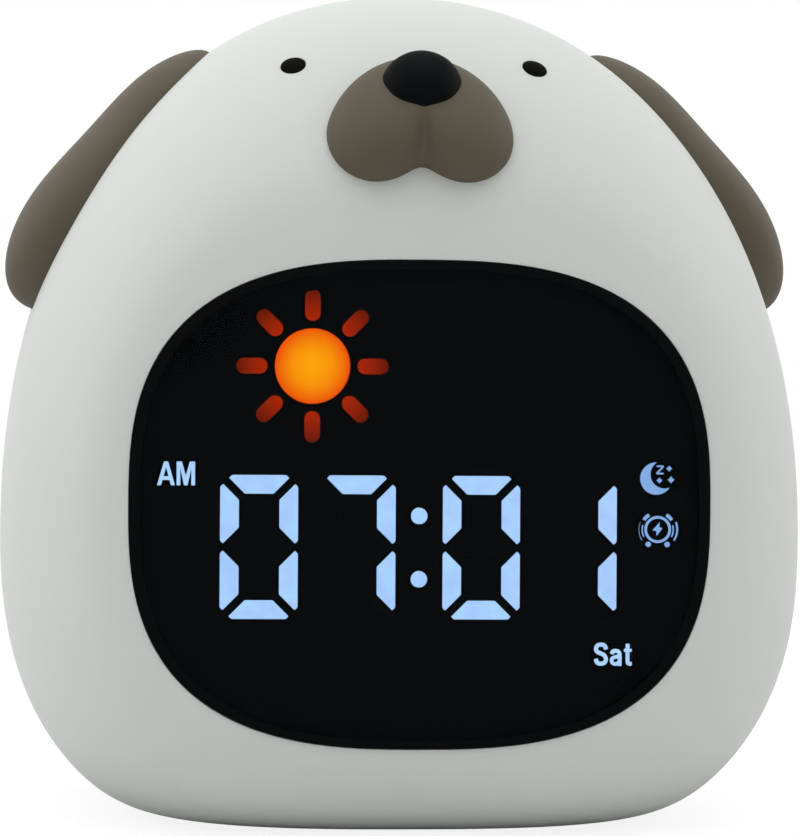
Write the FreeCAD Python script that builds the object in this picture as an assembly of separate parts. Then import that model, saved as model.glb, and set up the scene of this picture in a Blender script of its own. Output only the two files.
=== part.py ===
"""A child's alarm clock with a night light: a soft dog-shaped skin round a clock housing.

Sizes are in millimetres. X is to the right, -Y to the front and +Z up. The origin is the middle of
the base, on the table. Each sub-part is written to parts/NODE.step.
"""

import FreeCAD
import Part

import math
import os

from FreeCAD import Vector

# Body form: a rounded gumdrop with a flattened front and back
body_half_width = 59.5
body_top = 122.8
waist_height = 41.7
base_half_width = 40.2
front_reach = 49.0
rear_reach = 49.2
upper_exponent = 2.13
lower_exponent = 2.44
plan_exponent_waist = 3.3
plan_exponent_crown = 2.1
front_depth = 41.4
front_tilt = 2.75
rear_depth = 41.73
edge_softness = 1.3
ring_points = 32
lower_rings = 5
upper_rings = 9

# Walls and fits of the shells
skin_wall = 2.0
shell_gap = 0.2
housing_wall = 1.8
skin_bottom = 1.0
bond_gap = 0.1
part_gap = 0.1
split_at = 4.0
cut_reach = 6.0
fuse_overlap = 0.5

# Display window: the lens, its tape and the mask behind it
lens_half_width = 41.8
lens_half_height = 35.0
lens_height = 48.7
lens_exponent = 2.75
lens_recess = 0.15
lens_fit = 0.2
tape_thickness = 0.15
tape_inset = 0.4
tape_gap = 0.05
tape_width = 3.0
window_step = 2.2
frame_exponent = 4.0
frame_step = 1.4
collar_depth = 1.0
inner_clearance = 0.3
mask_fit = 0.3
mask_front_gap = 0.25
mask_depth = 5.6
display_board_thickness = 1.6
board_step = 0.4
frame_screw_across = 32.4
frame_screw_up = 26.6
frame_screw_cover = 0.6
frame_tip_gap = 0.4

# Digits and indicators, placed from the middle of the lens
digit_centres = (-23.05, -9.0, 9.0, 23.05)
digit_width = 11.15
digit_height = 20.6
digits_rise = -6.2
segment_width = 2.65
segment_gap = 0.9
segment_bevel = 0.4
waist_gap = 0.15
colon_rise = 4.55
colon_radius = 1.17
sun_across = -15.5
sun_up = 19.8
sun_radius = 5.4
ray_inner = 6.5
ray_outer = 10.95
ray_width = 2.2
ray_count = 8
guide_fit = 0.05
guide_recess = 0.15
guide_back_gap = 0.2
led_height = 0.8
led_length = 1.6
led_width = 0.8
sun_led_step = 2.0
label_width = 6.0
label_height = 3.8
icon_radius = 2.95
morning_label = (-35.0, 4.2)
day_label = (28.2, -21.7)
moon_icon = (34.6, 3.8)
bell_icon = (34.8, -3.5)

# Face: muzzle, nose and eyes, placed by their angle up the front
muzzle_angle = 49.2
muzzle_height = 7.0
muzzle_fullness = 2.3
muzzle_groove = 1.1
groove_width = 2.4
groove_start = 2.0
groove_run = 6.0
nose_height = 9.6
nose_base = 3.0
nose_fullness = 2.4
nose_middle = 2.6
nose_reach = 5.0
eye_radius = 1.8
eye_across = 17.8
eye_angle = 58.8
eye_dome = 0.4
eye_sink = 1.0

# Ears, placed by their angle up the sides
ear_angle = 43.0
ear_height = 9.0
ear_fullness = 2.9
ear_taper = 0.62
ear_tip = 23.2
ear_foot = -24.0
dome_sink = 1.6

# Night light
light_height = 90.4
shelf_thickness = 1.8
shelf_half_width = 27.0
shelf_half_depth = 21.0
light_half_width = 31.0
light_half_depth = 25.0
light_board_thickness = 1.6
light_count = 12
light_ring = 18.0
light_screw_radius = 1.25
touch_radius = 3.0
touch_wall = 0.8
touch_floor = 1.0
touch_gap = 0.4
light_led_length = 2.8
light_led_width = 3.5
light_led_height = 1.9
light_screw_shift = 0.2
light_screw_reach = 5.0
light_boss_length = 6.0
light_boss_radius = 2.6

# Rear panel and what shows in it
panel_half_width = 33.0
panel_half_height = 27.0
panel_height = 46.0
panel_exponent = 5.0
panel_recess = 0.2
panel_gap = 0.05
panel_fit = 0.25
rear_window_half_width = 28.5
rear_window_half_height = 22.5
rear_window_exponent = 3.0
panel_screw_across = 26.0
panel_screw_up = 21.0
panel_screw_head = 1.8
panel_screw_reach = 4.0
panel_boss_length = 6.0
cross_reach = 1.1
cross_half_width = 0.25
cross_depth = 0.5
head_recess = 0.1
speaker_radius = 10.0
speaker_rise = 10.6
speaker_depth = 5.6
speaker_rim = 1.2
speaker_wall = 0.8
speaker_taper = 3.0
speaker_hub = 3.0
cone_rise = 0.3
cone_wall = 0.4
cone_depth = 2.3
cone_cap = 2.6
cone_crown = 0.6
magnet_radius = 5.5
magnet_depth = 2.6
grille_radius = 9.6
grille_thickness = 1.2
grille_ledge = 1.0
grille_hole = 0.75
grille_pitch = 2.6
grille_rings = 3
button_names = ("set", "up", "down", "alarm", "light")
button_pitch = 11.0
button_rise = -5.5
button_radius = 3.5
button_fit = 0.2
button_flange = 4.4
button_flange_thickness = 1.0
button_proud = 0.8
button_travel = 0.5
switch_size = 6.0
switch_thickness = 3.5
plunger_radius = 1.7
plunger_fit = 0.1
plunger_proud = 1.0
stem_radius = 2.0
switch_floor = 1.2
button_edge = 0.5
lower_row_rise = -15.8
port_across = 7.0
port_width = 13.2
port_height = 7.8
port_depth = 4.8
port_wall = 1.2
port_corner = 1.6
usb_width = 8.94
usb_height = 3.26
usb_wall = 0.35
usb_length = 7.4
usb_fit = 0.1
usb_back = 1.0
slide_across = -9.0
slide_travel = 3.0
knob_width = 3.0
knob_height = 3.0
knob_proud = 1.4
knob_fit = 0.25
slide_body_width = 8.6
slide_body_height = 4.2
slide_body_depth = 3.6
blade_half = 0.75
blade_fit = 0.2
blade_depth = 2.0
knob_step = 1.2
grip_half = 0.15
grip_pitch = 0.8
grip_depth = 0.3
board_half_width = 24.6
board_thickness = 1.6
board_inset = 1.0
board_edge = 0.8
board_corner = 4.0
standoff_screw_reach = 5.0
standoff_radius = 2.3
standoff_upper = (22.3, 4.2)
standoff_lower = (17.6, -17.8)

# Base, feet and battery
base_half_across = 34.0
base_half_deep = 28.0
base_exponent = 2.6
base_fit = 0.3
base_clearance = 1.2
base_opening_across = 26.0
base_opening_deep = 20.0
foot_radius = 4.5
foot_height = 2.0
foot_across = 22.0
foot_deep = 16.0
foot_fit = 0.1
foot_edge = 0.5
base_head_depth = 1.0
base_head_height = 0.9
battery_radius = 9.2
battery_length = 65.0
battery_clearance = 0.4
battery_fit = 0.1
saddle_across = 18.0
saddle_width = 3.0
saddle_half_deep = 11.4
saddle_grip = 3.5

# Fasteners
screw_radius = 1.0
screw_fit = 0.05
screw_head = 1.9
screw_head_height = 1.2
boss_radius = 3.4
base_boss_height = 6.0
screw_tip_gap = 1.0
screw_clearance = 0.15
head_clearance = 0.2
housing_screw_across = 38.4
housing_screw_heights = (17.6, 80.6)
housing_screw_reach = 8.0

tilt = math.radians(front_tilt)
crown_rise = body_top - waist_height
foot_ratio = (base_half_width / body_half_width) ** lower_exponent
lower_drop = waist_height / (1 - foot_ratio) ** (1 / lower_exponent)
housing_outer = skin_wall + shell_gap
housing_inner = housing_outer + housing_wall
housing_bottom = skin_bottom + skin_wall + shell_gap
lens_thickness = housing_outer - tape_gap - tape_thickness - lens_recess
rear_seat = rear_depth - housing_outer + panel_gap
panel_face = rear_depth - panel_recess
board_face = panel_face - port_depth - usb_length + button_travel
collar_back = -(housing_inner + collar_depth)
mask_front = -(housing_outer + mask_front_gap)
mask_seat = collar_back - part_gap
mask_back = mask_front - mask_depth
guide_back = mask_back + led_height + guide_back_gap
board_front = mask_back - part_gap
base_top = housing_bottom - part_gap
base_hole_top = housing_bottom + base_boss_height - screw_tip_gap
battery_height = housing_bottom + base_boss_height + battery_clearance + battery_radius
FRONT = -math.pi / 2
LIT = {"0": "abcdef", "7": "abc", "1": "bc"}
SHOWN = "0701"


def soft_limit(value, limit):
    """The smaller of value and limit, with a rounded corner between them."""
    excess = (value - limit) / edge_softness
    if excess > 40:
        return limit
    return value - edge_softness * math.log1p(math.exp(excess))


def level(psi, inset):
    """Height and plan scale of the ring at angle psi: 0 at the waist and a right angle at the crown."""
    if psi >= 0:
        power = 2 / upper_exponent
        rise = (crown_rise - inset) * math.sin(psi) ** power
        return waist_height + rise, max(math.cos(psi), 0.0) ** power
    power = 2 / lower_exponent
    drop = (lower_drop - inset) * math.sin(-psi) ** power
    return waist_height - drop, math.cos(psi) ** power


def bottom_angle(height, inset):
    """The angle psi of the ring at a height below the waist."""
    share = (waist_height - height) / (lower_drop - inset)
    return -math.asin(share ** (lower_exponent / 2))


def body_point(theta, psi, inset=0.0):
    """A point of the body's surface, or of the surface that lies inset within it."""
    height, scale = level(psi, inset)
    across, along = math.cos(theta), math.sin(theta)
    half_width = (body_half_width - inset) * scale
    reach = (front_reach if along < 0 else rear_reach) - inset
    power = plan_exponent_crown + (plan_exponent_waist - plan_exponent_crown) * scale
    sides = (abs(across) / half_width) ** power + (abs(along) / (reach * scale)) ** power
    radius = sides ** (-1 / power)
    x, y = radius * across, radius * along
    if y < 0:
        slope = (height - lens_height) * math.tan(tilt)
        y = -soft_limit(-y, front_depth - inset / math.cos(tilt) - slope)
    else:
        y = soft_limit(y, rear_depth - inset)
    return Vector(x, y, height)


def body_normal(theta, psi):
    """The outward normal of the body at a point of its surface."""
    step = 1e-4
    along = body_point(theta + step, psi) - body_point(theta - step, psi)
    up = body_point(theta, psi + step) - body_point(theta, psi - step)
    return along.cross(up).normalize()


def closed_poles(points):
    """Poles of the closed uniform cubic curve that passes through points."""
    poles = list(points)
    count = len(poles)
    for _ in range(44):
        poles = [(points[i] * 6 - poles[i - 1] - poles[(i + 1) % count]) * 0.25 for i in range(count)]
    return poles


def closed_curve(points):
    """The closed smooth curve through points."""
    curve = Part.BSplineCurve()
    knots = list(range(len(points) + 1))
    curve.buildFromPolesMultsKnots(closed_poles(points), [1] * len(knots), knots, True, 3)
    return curve


def ring_surface(rings, level_crown=False):
    """The smooth surface through rings of points, which ends in a single point where a ring has none."""
    count = len(rings[0])
    first = [ring[0] for ring in rings]
    params = [0.0]
    for below, above in zip(first, first[1:]):
        params.append(params[-1] + (above - below).Length)
    columns = []
    for i in range(count):
        curve = Part.BSplineCurve()
        curve.interpolate(Points=[ring[i] for ring in rings], Parameters=params)
        poles = curve.getPoles()
        if level_crown:
            poles[-2].z = poles[-1].z
        columns.append(poles)
    knots, mults = curve.getKnots(), curve.getMultiplicities()
    rows = [closed_poles([column[k] for column in columns]) for k in range(len(columns[0]))]
    grid = [[rows[k][i] for k in range(len(rows))] for i in range(count)]
    for k in (0, len(rows) - 1):
        if max((grid[i][k] - grid[0][k]).Length for i in range(count)) < 1e-6:
            for i in range(count):
                grid[i][k] = grid[0][k]
    surface = Part.BSplineSurface()
    around = list(range(count + 1))
    surface.buildFromPolesMultsKnots(grid, [1] * len(around), mults, around, knots, True, False, 3, 3)
    return surface.toShape()


def solid_of(faces):
    """The closed solid inside faces."""
    shell = Part.makeShell(faces)
    shell.sewShape()
    solid = Part.makeSolid(shell.Shells[0] if shell.Shells else shell)
    if solid.Volume < 0:
        solid.reverse()
    return solid


def body_solid(inset, bottom):
    """The whole body's solid at an inset, cut flat at its bottom."""
    lowest = bottom_angle(bottom, inset)
    angles = [lowest * (lower_rings - k) / lower_rings for k in range(lower_rings)]
    angles += [math.pi / 2 * k / upper_rings for k in range(upper_rings)]
    turns = [2 * math.pi * i / ring_points for i in range(ring_points)]
    rings = [[body_point(turn, psi, inset) for turn in turns] for psi in angles]
    crown = Vector(0, 0, body_top - inset)
    rings.append([crown] * ring_points)
    side = ring_surface(rings, level_crown=True)
    rim = [edge for edge in side.Edges if edge.BoundBox.ZMax < bottom + 0.01]
    floor = Part.Face(Part.Wire(rim))
    return solid_of([side, floor])


def rounded_plate(half_x, half_y, exponent, low, high):
    """A plate with a superellipse outline, from low to high along Z."""
    points = [Vector(x, y, low) for x, y in even_points(half_x, half_y, exponent)]
    face = Part.Face(Part.Wire(closed_curve(points).toShape()))
    return face.extrude(Vector(0, 0, high - low))


def even_points(half_x, half_y, exponent, count=32):
    """Points at equal plan angles round a superellipse in the XY plane."""
    points = []
    for i in range(count):
        turn = 2 * math.pi * i / count
        across, up = math.cos(turn), math.sin(turn)
        sides = (abs(across) / half_x) ** exponent + (abs(up) / half_y) ** exponent
        radius = sides ** (-1 / exponent)
        points.append((radius * across, radius * up))
    return points


def block(x_low, x_high, y_low, y_high, z_low, z_high):
    """A box between two corners."""
    size = (x_high - x_low, y_high - y_low, z_high - z_low)
    return Part.makeBox(*size, Vector(x_low, y_low, z_low))


def rod(radius, x, y, low, high):
    """A round bar along Z."""
    return Part.makeCylinder(radius, high - low, Vector(x, y, low))


def prism(points, low, high):
    """A straight-sided prism along Z over a polygon."""
    corners = [Vector(x, y, low) for x, y in points]
    face = Part.Face(Part.makePolygon(corners + corners[:1]))
    return face.extrude(Vector(0, 0, high - low))


def joined(shapes):
    """One shape from several that touch or overlap."""
    whole = shapes[0]
    if len(shapes) > 1:
        whole = whole.fuse(shapes[1:])
    return whole.removeSplitter()


def front(*shapes):
    """Shapes drawn in the lens's own plane, with +Z out of its face, moved to the body."""
    group = Part.makeCompound([solid for shape in shapes for solid in shape.Solids])
    turn = FreeCAD.Rotation(Vector(1, 0, 0), 90 - front_tilt)
    group.Placement = FreeCAD.Placement(Vector(0, -front_depth, lens_height), turn)
    return group


def rear_rod(radius, across, rise, near, far):
    """A round bar along Y, placed across and above the middle of the rear panel."""
    base = Vector(across, near, panel_height + rise)
    return Part.makeCylinder(radius, far - near, base, Vector(0, 1, 0))


def rear_block(across, rise, half_x, half_z, near, far):
    """A box along Y, placed across and above the middle of the rear panel."""
    height = panel_height + rise
    return block(across - half_x, across + half_x, near, far, height - half_z, height + half_z)


def rear_plate(half_x, half_z, exponent, near, far):
    """A plate with a superellipse outline, upright round the middle of the rear panel."""
    points = [Vector(x, near, panel_height + z) for x, z in even_points(half_x, half_z, exponent)]
    face = Part.Face(Part.Wire(closed_curve(points).toShape()))
    return face.extrude(Vector(0, far - near, 0))


def export(name, shape):
    """Write one node's STEP file."""
    shape.exportStep(os.path.join("parts", name + ".step"))


def surface_point(theta, psi, across, up, height):
    """A point measured over the body from the place at theta and psi, and height above its surface."""
    middle = body_point(theta, psi)
    climb = (body_point(theta, psi + 0.01) - body_point(theta, psi - 0.01)).Length / 0.02
    raised = psi + up / climb
    round_here = body_point(theta, raised)
    turned = theta + across / math.hypot(round_here.x, round_here.y)
    return body_point(turned, raised) + body_normal(turned, raised) * height


def wrapped_dome(theta, psi, outline, base, height, fullness):
    """A domed pad wrapped on the body: outline gives (across, up) points, height a function of them."""
    points = [outline.value(i) for i in range(ring_points)]
    centre = Vector(0, sum(p.y for p in points) / ring_points, 0)

    def ring(scale, lift):
        spots = [centre + (p - centre) * scale for p in points]
        return [surface_point(theta, psi, p.x, p.y, base + lift * (height(p) - base)) for p in spots]

    steps = [math.pi / 2 * k / 7 for k in range(8)]
    profile = [(math.cos(t) ** (2 / fullness), math.sin(t) ** (2 / fullness)) for t in steps[1:-1]]
    crown = ring(1.0, 0.0)
    rings = [ring(1.0, 0.0), ring(1.0, 0.25 * profile[0][1])]
    rings += [ring(scale, lift) for scale, lift in profile]
    rings.append([surface_point(theta, psi, centre.x, centre.y, height(centre))] * ring_points)
    under = [crown, ring(0.6, 0.0), ring(0.3, 0.0)]
    under.append([surface_point(theta, psi, centre.x, centre.y, base)] * ring_points)
    return solid_of([ring_surface(rings), ring_surface(under)])


def mirrored_outline(points):
    """A closed curve through points given from the top down the right side, and mirrored on the left."""
    left = [Vector(-p[0], p[1], 0) for p in reversed(points) if p[0] > 0]
    right = [Vector(p[0], p[1], 0) for p in points]
    curve = closed_curve(right + left)
    count = len(right) + len(left)
    even = [curve.value(count * i / ring_points) for i in range(ring_points)]
    return closed_curve(even)


def muzzle_outline():
    return mirrored_outline(
        [(0, 10.2), (6.0, 9.3), (11.1, 5.0), (13.2, -1.4), (11.7, -7.2), (6.5, -9.9), (0, -8.0)]
    )


def muzzle_rise(spot):
    """The muzzle's height over the forehead, with the crease that runs down from the nose."""
    fall = min(1.0, max(0.0, (groove_start - spot.y) / groove_run))
    crease = math.exp(-((spot.x / groove_width) ** 2)) * fall
    return muzzle_height - muzzle_groove * crease


def nose_outline(grow):
    points = [(0, 7.2), (3.7, 6.4), (5.9, 3.3), (4.1, -0.7), (0, -2.7)]
    wider = 1 + grow / nose_reach
    return mirrored_outline([(x * wider, nose_middle + (y - nose_middle) * wider) for x, y in points])


def nose_solid(grow=0.0):
    """The nose's rounded triangle, or its pocket in the muzzle where it is grown."""
    outline = nose_outline(grow)
    angle = math.radians(muzzle_angle)
    return wrapped_dome(FRONT, angle, outline, nose_base - grow, lambda p: nose_height, nose_fullness)


def ear_solid(theta, body):
    """One flap ear that hugs the side of the body."""
    sides = [(8.6, 18.4), (13.6, 8), (15.8, -5), (12.4, -17)]
    outline = mirrored_outline([(0, ear_tip)] + sides + [(0, ear_foot)])

    def rise(spot):
        return ear_height * (1 - ear_taper * (spot.y - ear_foot) / (ear_tip - ear_foot))

    dome = wrapped_dome(theta, math.radians(ear_angle), outline, -dome_sink, rise, ear_fullness)
    return dome.cut(body)


def eye_frame(side):
    """The middle of an eye on the body's surface, and the outward direction there."""
    psi = math.radians(eye_angle)
    theta = FRONT
    for _ in range(20):
        theta += (side * eye_across - body_point(theta, psi).x) / body_point(theta, psi).Length
    return body_point(theta, psi), body_normal(theta, psi)


def eye_solid(side):
    """A small domed disc, set into the skin."""
    middle, out = eye_frame(side)
    ball_radius = (eye_radius**2 + eye_dome**2) / (2 * eye_dome)
    top = eye_sink + eye_dome
    ball = Part.makeSphere(ball_radius, Vector(0, 0, top - ball_radius))
    disc = Part.makeCylinder(eye_radius, top + 1).common(ball)
    turn = FreeCAD.Rotation(Vector(0, 0, 1), out)
    disc.Placement = FreeCAD.Placement(middle - out * eye_sink, turn)
    return disc


def eye_pocket(side):
    middle, out = eye_frame(side)
    depth = eye_sink + bond_gap
    return Part.makeCylinder(eye_radius + bond_gap, depth + 3, middle - out * depth, out)


def lens_plate(grow, low, high, exponent=lens_exponent):
    """A plate parallel to the lens, larger than it by grow, drawn in the lens's plane."""
    return rounded_plate(lens_half_width + grow, lens_half_height + grow, exponent, low, high)


def base_plate_shape(grow, low, high):
    return rounded_plate(base_half_across + grow, base_half_deep + grow, base_exponent, low, high)


def make_skin():
    """The soft white skin, open at the lens, the rear panel and the base."""
    shell = body_solid(0.0, skin_bottom).cut(body_solid(skin_wall, skin_bottom + skin_wall))
    cuts = [
        front(lens_plate(lens_fit, -cut_reach, cut_reach)),
        rear_plate(
            panel_half_width + panel_fit,
            panel_half_height + panel_fit,
            panel_exponent,
            rear_depth - cut_reach,
            rear_depth + cut_reach,
        ),
        base_plate_shape(base_fit, 0.0, skin_bottom + cut_reach),
        eye_pocket(-1),
        eye_pocket(1),
    ]
    return shell.cut(cuts)


def screw_posts():
    """The places of the four screws that join the housing's halves."""
    return [(side * housing_screw_across, height) for side in (-1, 1) for height in housing_screw_heights]


def frame_screws():
    return [(x * frame_screw_across, y * frame_screw_up) for x in (-1, 1) for y in (-1, 1)]


def base_screws():
    across = (base_half_across + base_opening_across) / 2
    deep = (base_half_deep + base_opening_deep) / 2
    return [(across, 0), (-across, 0), (0, deep), (0, -deep)]


def panel_screws():
    return [(x * panel_screw_across, z * panel_screw_up) for x in (-1, 1) for z in (-1, 1)]


def make_housing():
    """The front and rear halves of the inner housing."""
    outer = body_solid(housing_outer, housing_bottom)
    inner = body_solid(housing_inner, housing_bottom + housing_wall)
    shell = outer.cut(inner)
    far = 2 * body_half_width
    shelf_band = block(-far, far, -far, far, light_height - shelf_thickness, light_height - part_gap)
    shelf_hole = rounded_plate(shelf_half_width, shelf_half_depth, base_exponent, 0, body_top)
    shelf = outer.common(shelf_band).cut(shelf_hole)
    collar = front(lens_plate(frame_step - window_step, collar_back, -housing_outer, frame_exponent))
    posts = []
    holes = [
        front(lens_plate(-window_step, collar_back - cut_reach, cut_reach)),
        rear_plate(
            rear_window_half_width,
            rear_window_half_height,
            rear_window_exponent,
            rear_seat - cut_reach,
            rear_depth,
        ),
        rounded_plate(
            base_opening_across, base_opening_deep, base_exponent, 0, housing_bottom + cut_reach
        ),
    ]
    for x, z in screw_posts():
        posts.append(Part.makeCylinder(boss_radius, 2 * far, Vector(x, -far, z), Vector(0, 1, 0)))
        start = split_at - housing_screw_reach
        holes.append(
            Part.makeCylinder(screw_radius + screw_fit, far, Vector(x, start, z), Vector(0, 1, 0))
        )
        head = split_at + housing_screw_reach
        holes.append(
            Part.makeCylinder(screw_head + head_clearance, far, Vector(x, head, z), Vector(0, 1, 0))
        )
    for x, y in base_screws():
        posts.append(rod(boss_radius, x, y, housing_bottom, housing_bottom + base_boss_height))
        holes.append(rod(screw_radius + screw_fit, x, y, 0, base_hole_top))
    for x, z in panel_screws():
        posts.append(rear_rod(boss_radius, x, z, rear_seat - panel_boss_length, rear_seat))
        deep = rear_seat - panel_screw_reach - screw_tip_gap
        holes.append(rear_rod(screw_radius + screw_fit, x, z, deep, rear_depth))
    for x, y in light_screws():
        low = light_height - light_boss_length
        holes.append(rod(screw_radius + screw_fit, x, y, low - screw_tip_gap, light_height))
        posts.append(rod(light_boss_radius, x, y, low, light_height - part_gap))
    for x, y in frame_screws():
        top = -housing_outer - frame_screw_cover
        holes.append(front(rod(screw_radius + screw_fit, x, y, collar_back - cut_reach, top)))
    collar = collar.common(outer)
    posts = Part.makeCompound(posts).common(outer)
    whole = shell.fuse([shelf, collar] + posts.Solids).cut(holes)
    half = part_gap / 2
    front_side = block(-far, far, -far, split_at - half, -10, body_top + 10)
    rear_side = block(-far, far, split_at + half, far, -10, body_top + 10)
    return largest(whole.common(front_side)), largest(whole.common(rear_side))


def largest(shape):
    """The biggest solid of a shape, without slivers that a cut left."""
    return max(shape.Solids, key=lambda solid: solid.Volume)


def light_screws():
    across = (light_half_width + shelf_half_width) / 2 - light_screw_shift
    deep = (light_half_depth + shelf_half_depth) / 2 - light_screw_shift
    return [(across, split_at + boss_radius), (-across, split_at + boss_radius), (0, -deep), (0, deep)]


def screws(places, low, high, head_up=True, head_height=screw_head_height):
    """Screws along Z, with the shank from low to high and the head at the far end."""
    made = []
    for x, y in places:
        shank = rod(screw_radius, x, y, low, high)
        seat = high if head_up else low - head_height
        cap = rod(screw_head, x, y, seat, seat + head_height)
        made.append(shank.fuse(cap).removeSplitter())
    return made


def segments(middle, rise):
    """The seven segments of a digit as polygons, named a to g from the top clockwise."""
    left, right = middle - digit_width / 2, middle + digit_width / 2
    top, bottom = rise + digit_height / 2, rise - digit_height / 2
    width, bevel, gap = segment_width, segment_bevel, segment_gap
    upper = [
        (left + gap + 2 * bevel, top),
        (right - gap - 2 * bevel, top),
        (right - gap - bevel, top - bevel),
        (right - gap - width, top - width),
        (left + gap + width, top - width),
        (left + gap + bevel, top - bevel),
    ]
    low = rise + waist_gap
    tall = [
        (right, top - gap - 2 * bevel),
        (right - bevel, top - gap - bevel),
        (right - width, top - gap - width),
        (right - width, low + width),
        (right - bevel, low + bevel),
        (right, low + 2 * bevel),
    ]
    half = width / 2
    reach = 2 * gap
    bar = [
        (left + reach, rise),
        (left + reach + half, rise + half),
        (right - reach - half, rise + half),
        (right - reach, rise),
        (right - reach - half, rise - half),
        (left + reach + half, rise - half),
    ]

    def across(points):
        return [(2 * middle - x, y) for x, y in points]

    def below(points):
        return [(x, 2 * rise - y) for x, y in points]

    return {
        "a": upper,
        "b": tall,
        "c": below(tall),
        "d": below(upper),
        "e": across(below(tall)),
        "f": across(tall),
        "g": bar,
    }


def grown(points, gap):
    """A convex polygon with each side moved out by gap."""
    middle_x = sum(x for x, _ in points) / len(points)
    middle_y = sum(y for _, y in points) / len(points)
    lines = []
    for (x0, y0), (x1, y1) in zip(points, points[1:] + points[:1]):
        length = math.hypot(x1 - x0, y1 - y0)
        nx, ny = (y1 - y0) / length, (x0 - x1) / length
        if nx * (x0 - middle_x) + ny * (y0 - middle_y) < 0:
            nx, ny = -nx, -ny
        lines.append((nx, ny, nx * x0 + ny * y0 + gap))
    corners = []
    for (a, b, c), (d, e, f) in zip(lines[-1:] + lines[:-1], lines):
        area = a * e - b * d
        corners.append(((c * e - b * f) / area, (a * f - c * d) / area))
    return corners


def ray_shape(k, grow, low, high):
    """One round-ended ray beside the sun's disc."""
    half = ray_width / 2
    inner, outer = ray_inner + half, ray_outer - half
    bar = block(inner, outer, -half - grow, half + grow, low, high)
    shape = joined([bar, rod(half + grow, inner, 0, low, high), rod(half + grow, outer, 0, low, high)])
    shape.rotate(Vector(), Vector(0, 0, 1), 360 * k / ray_count)
    shape.translate(Vector(sun_across, sun_up, 0))
    return shape


def guides(grow, low, high):
    """The light guides of the display by node, as solids drawn in the lens's plane."""
    made = {"lit_segments": [], "unlit_segments": [], "sun_disc_guide": [], "sun_ray_guides": []}
    for digit, middle in zip(SHOWN, digit_centres):
        for name, points in segments(middle, digits_rise).items():
            node = "lit_segments" if name in LIT[digit] else "unlit_segments"
            made[node].append(prism(grown(points, grow), low, high))
    for rise in (-colon_rise, colon_rise):
        made["lit_segments"].append(rod(colon_radius + grow, 0, digits_rise + rise, low, high))
    made["sun_disc_guide"].append(rod(sun_radius + grow, sun_across, sun_up, low, high))
    made["sun_ray_guides"] = [ray_shape(k, grow, low, high) for k in range(ray_count)]
    labels = []
    for x, y in (morning_label, day_label):
        wide, tall = label_width / 2 + grow, label_height / 2 + grow
        labels.append(block(x - wide, x + wide, y - tall, y + tall, low, high))
    for x, y in (moon_icon, bell_icon):
        labels.append(rod(icon_radius + grow, x, y, low, high))
    made["indicator_guides"] = labels
    return made


def make_mask(room):
    """The black light mask: raised into the housing's window, with a flange behind its collar."""
    raised = lens_plate(-window_step - mask_fit, mask_back, mask_front)
    flange = lens_plate(frame_step - window_step, mask_back, mask_seat, frame_exponent)
    cuts = [solid for group in guides(guide_fit, mask_back - 1, 0).values() for solid in group]
    cuts += [rod(screw_radius + screw_clearance, x, y, mask_back - 1, 0) for x, y in frame_screws()]
    flange = front(flange).common(room)
    return front(raised).fuse(flange).removeSplitter().cut(front(*cuts))


def led_places():
    """The middle of every display light, drawn in the lens's plane."""
    places = []
    for middle in digit_centres:
        for points in segments(middle, digits_rise).values():
            x = sum(p[0] for p in points) / len(points)
            y = sum(p[1] for p in points) / len(points)
            places.append((x, y))
    places += [(0, digits_rise - colon_rise), (0, digits_rise + colon_rise)]
    middle_ray = (ray_inner + ray_outer) / 2
    for k in range(ray_count):
        turn = 2 * math.pi * k / ray_count
        places.append((sun_across + middle_ray * math.cos(turn), sun_up + middle_ray * math.sin(turn)))
    shifts = (-sun_led_step, sun_led_step)
    places += [(sun_across + x, sun_up + y) for x in shifts for y in shifts]
    return places + [morning_label, day_label, moon_icon, bell_icon]


def make_display():
    """The parts behind the lens, by node."""
    back = board_front - display_board_thickness
    room = body_solid(housing_inner + inner_clearance, housing_bottom + housing_wall + inner_clearance)
    board = lens_plate(frame_step - window_step - board_step, back, board_front, frame_exponent)
    board = board.cut([rod(screw_radius + screw_clearance, x, y, back - 1, 0) for x, y in frame_screws()])
    wide, tall = led_length / 2, led_width / 2
    leds = [
        block(x - wide, x + wide, y - tall, y + tall, board_front, board_front + led_height)
        for x, y in led_places()
    ]
    tip = -housing_outer - frame_screw_cover - frame_tip_gap
    fixings = screws(frame_screws(), back, tip, head_up=False)
    low, high = -(lens_recess + lens_thickness), -lens_recess
    tape = lens_plate(-tape_inset, low - tape_thickness, low)
    tape = tape.cut(lens_plate(-tape_inset - tape_width, -housing_outer - 1, 0))
    nodes = {
        "display_lens": front(lens_plate(0, low, high)),
        "lens_tape": front(tape),
        "segment_mask": make_mask(room),
        "display_board": front(board).common(room),
        "display_leds": front(*leds),
        "display_screws": front(*fixings),
    }
    for name, solids in guides(0.0, guide_back, mask_front - guide_recess).items():
        nodes[name] = front(*solids)
    return nodes


def make_light():
    """The night light's board under the crown, by node."""
    top = light_height + light_board_thickness
    board = rounded_plate(light_half_width, light_half_depth, base_exponent, light_height, top)
    board = board.cut([rod(light_screw_radius, x, y, 0, top + 1) for x, y in light_screws()])
    leds = []
    deep, wide = light_led_length / 2, light_led_width / 2
    for k in range(light_count):
        led = block(light_ring - deep, light_ring + deep, -wide, wide, top, top + light_led_height)
        led.rotate(Vector(), Vector(0, 0, 1), 360 * k / light_count)
        leds.append(led)
    fixings = screws(light_screws(), light_height - light_screw_reach, top)
    reach = body_top - housing_inner - touch_gap
    bore = rod(touch_radius - touch_wall, 0, 0, top + touch_floor, reach)
    contact = rod(touch_radius, 0, 0, top, reach).cut(bore)
    return {
        "light_board": board,
        "light_leds": Part.makeCompound(leds),
        "light_screws": Part.makeCompound(fixings),
        "touch_contact": contact,
    }


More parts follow.
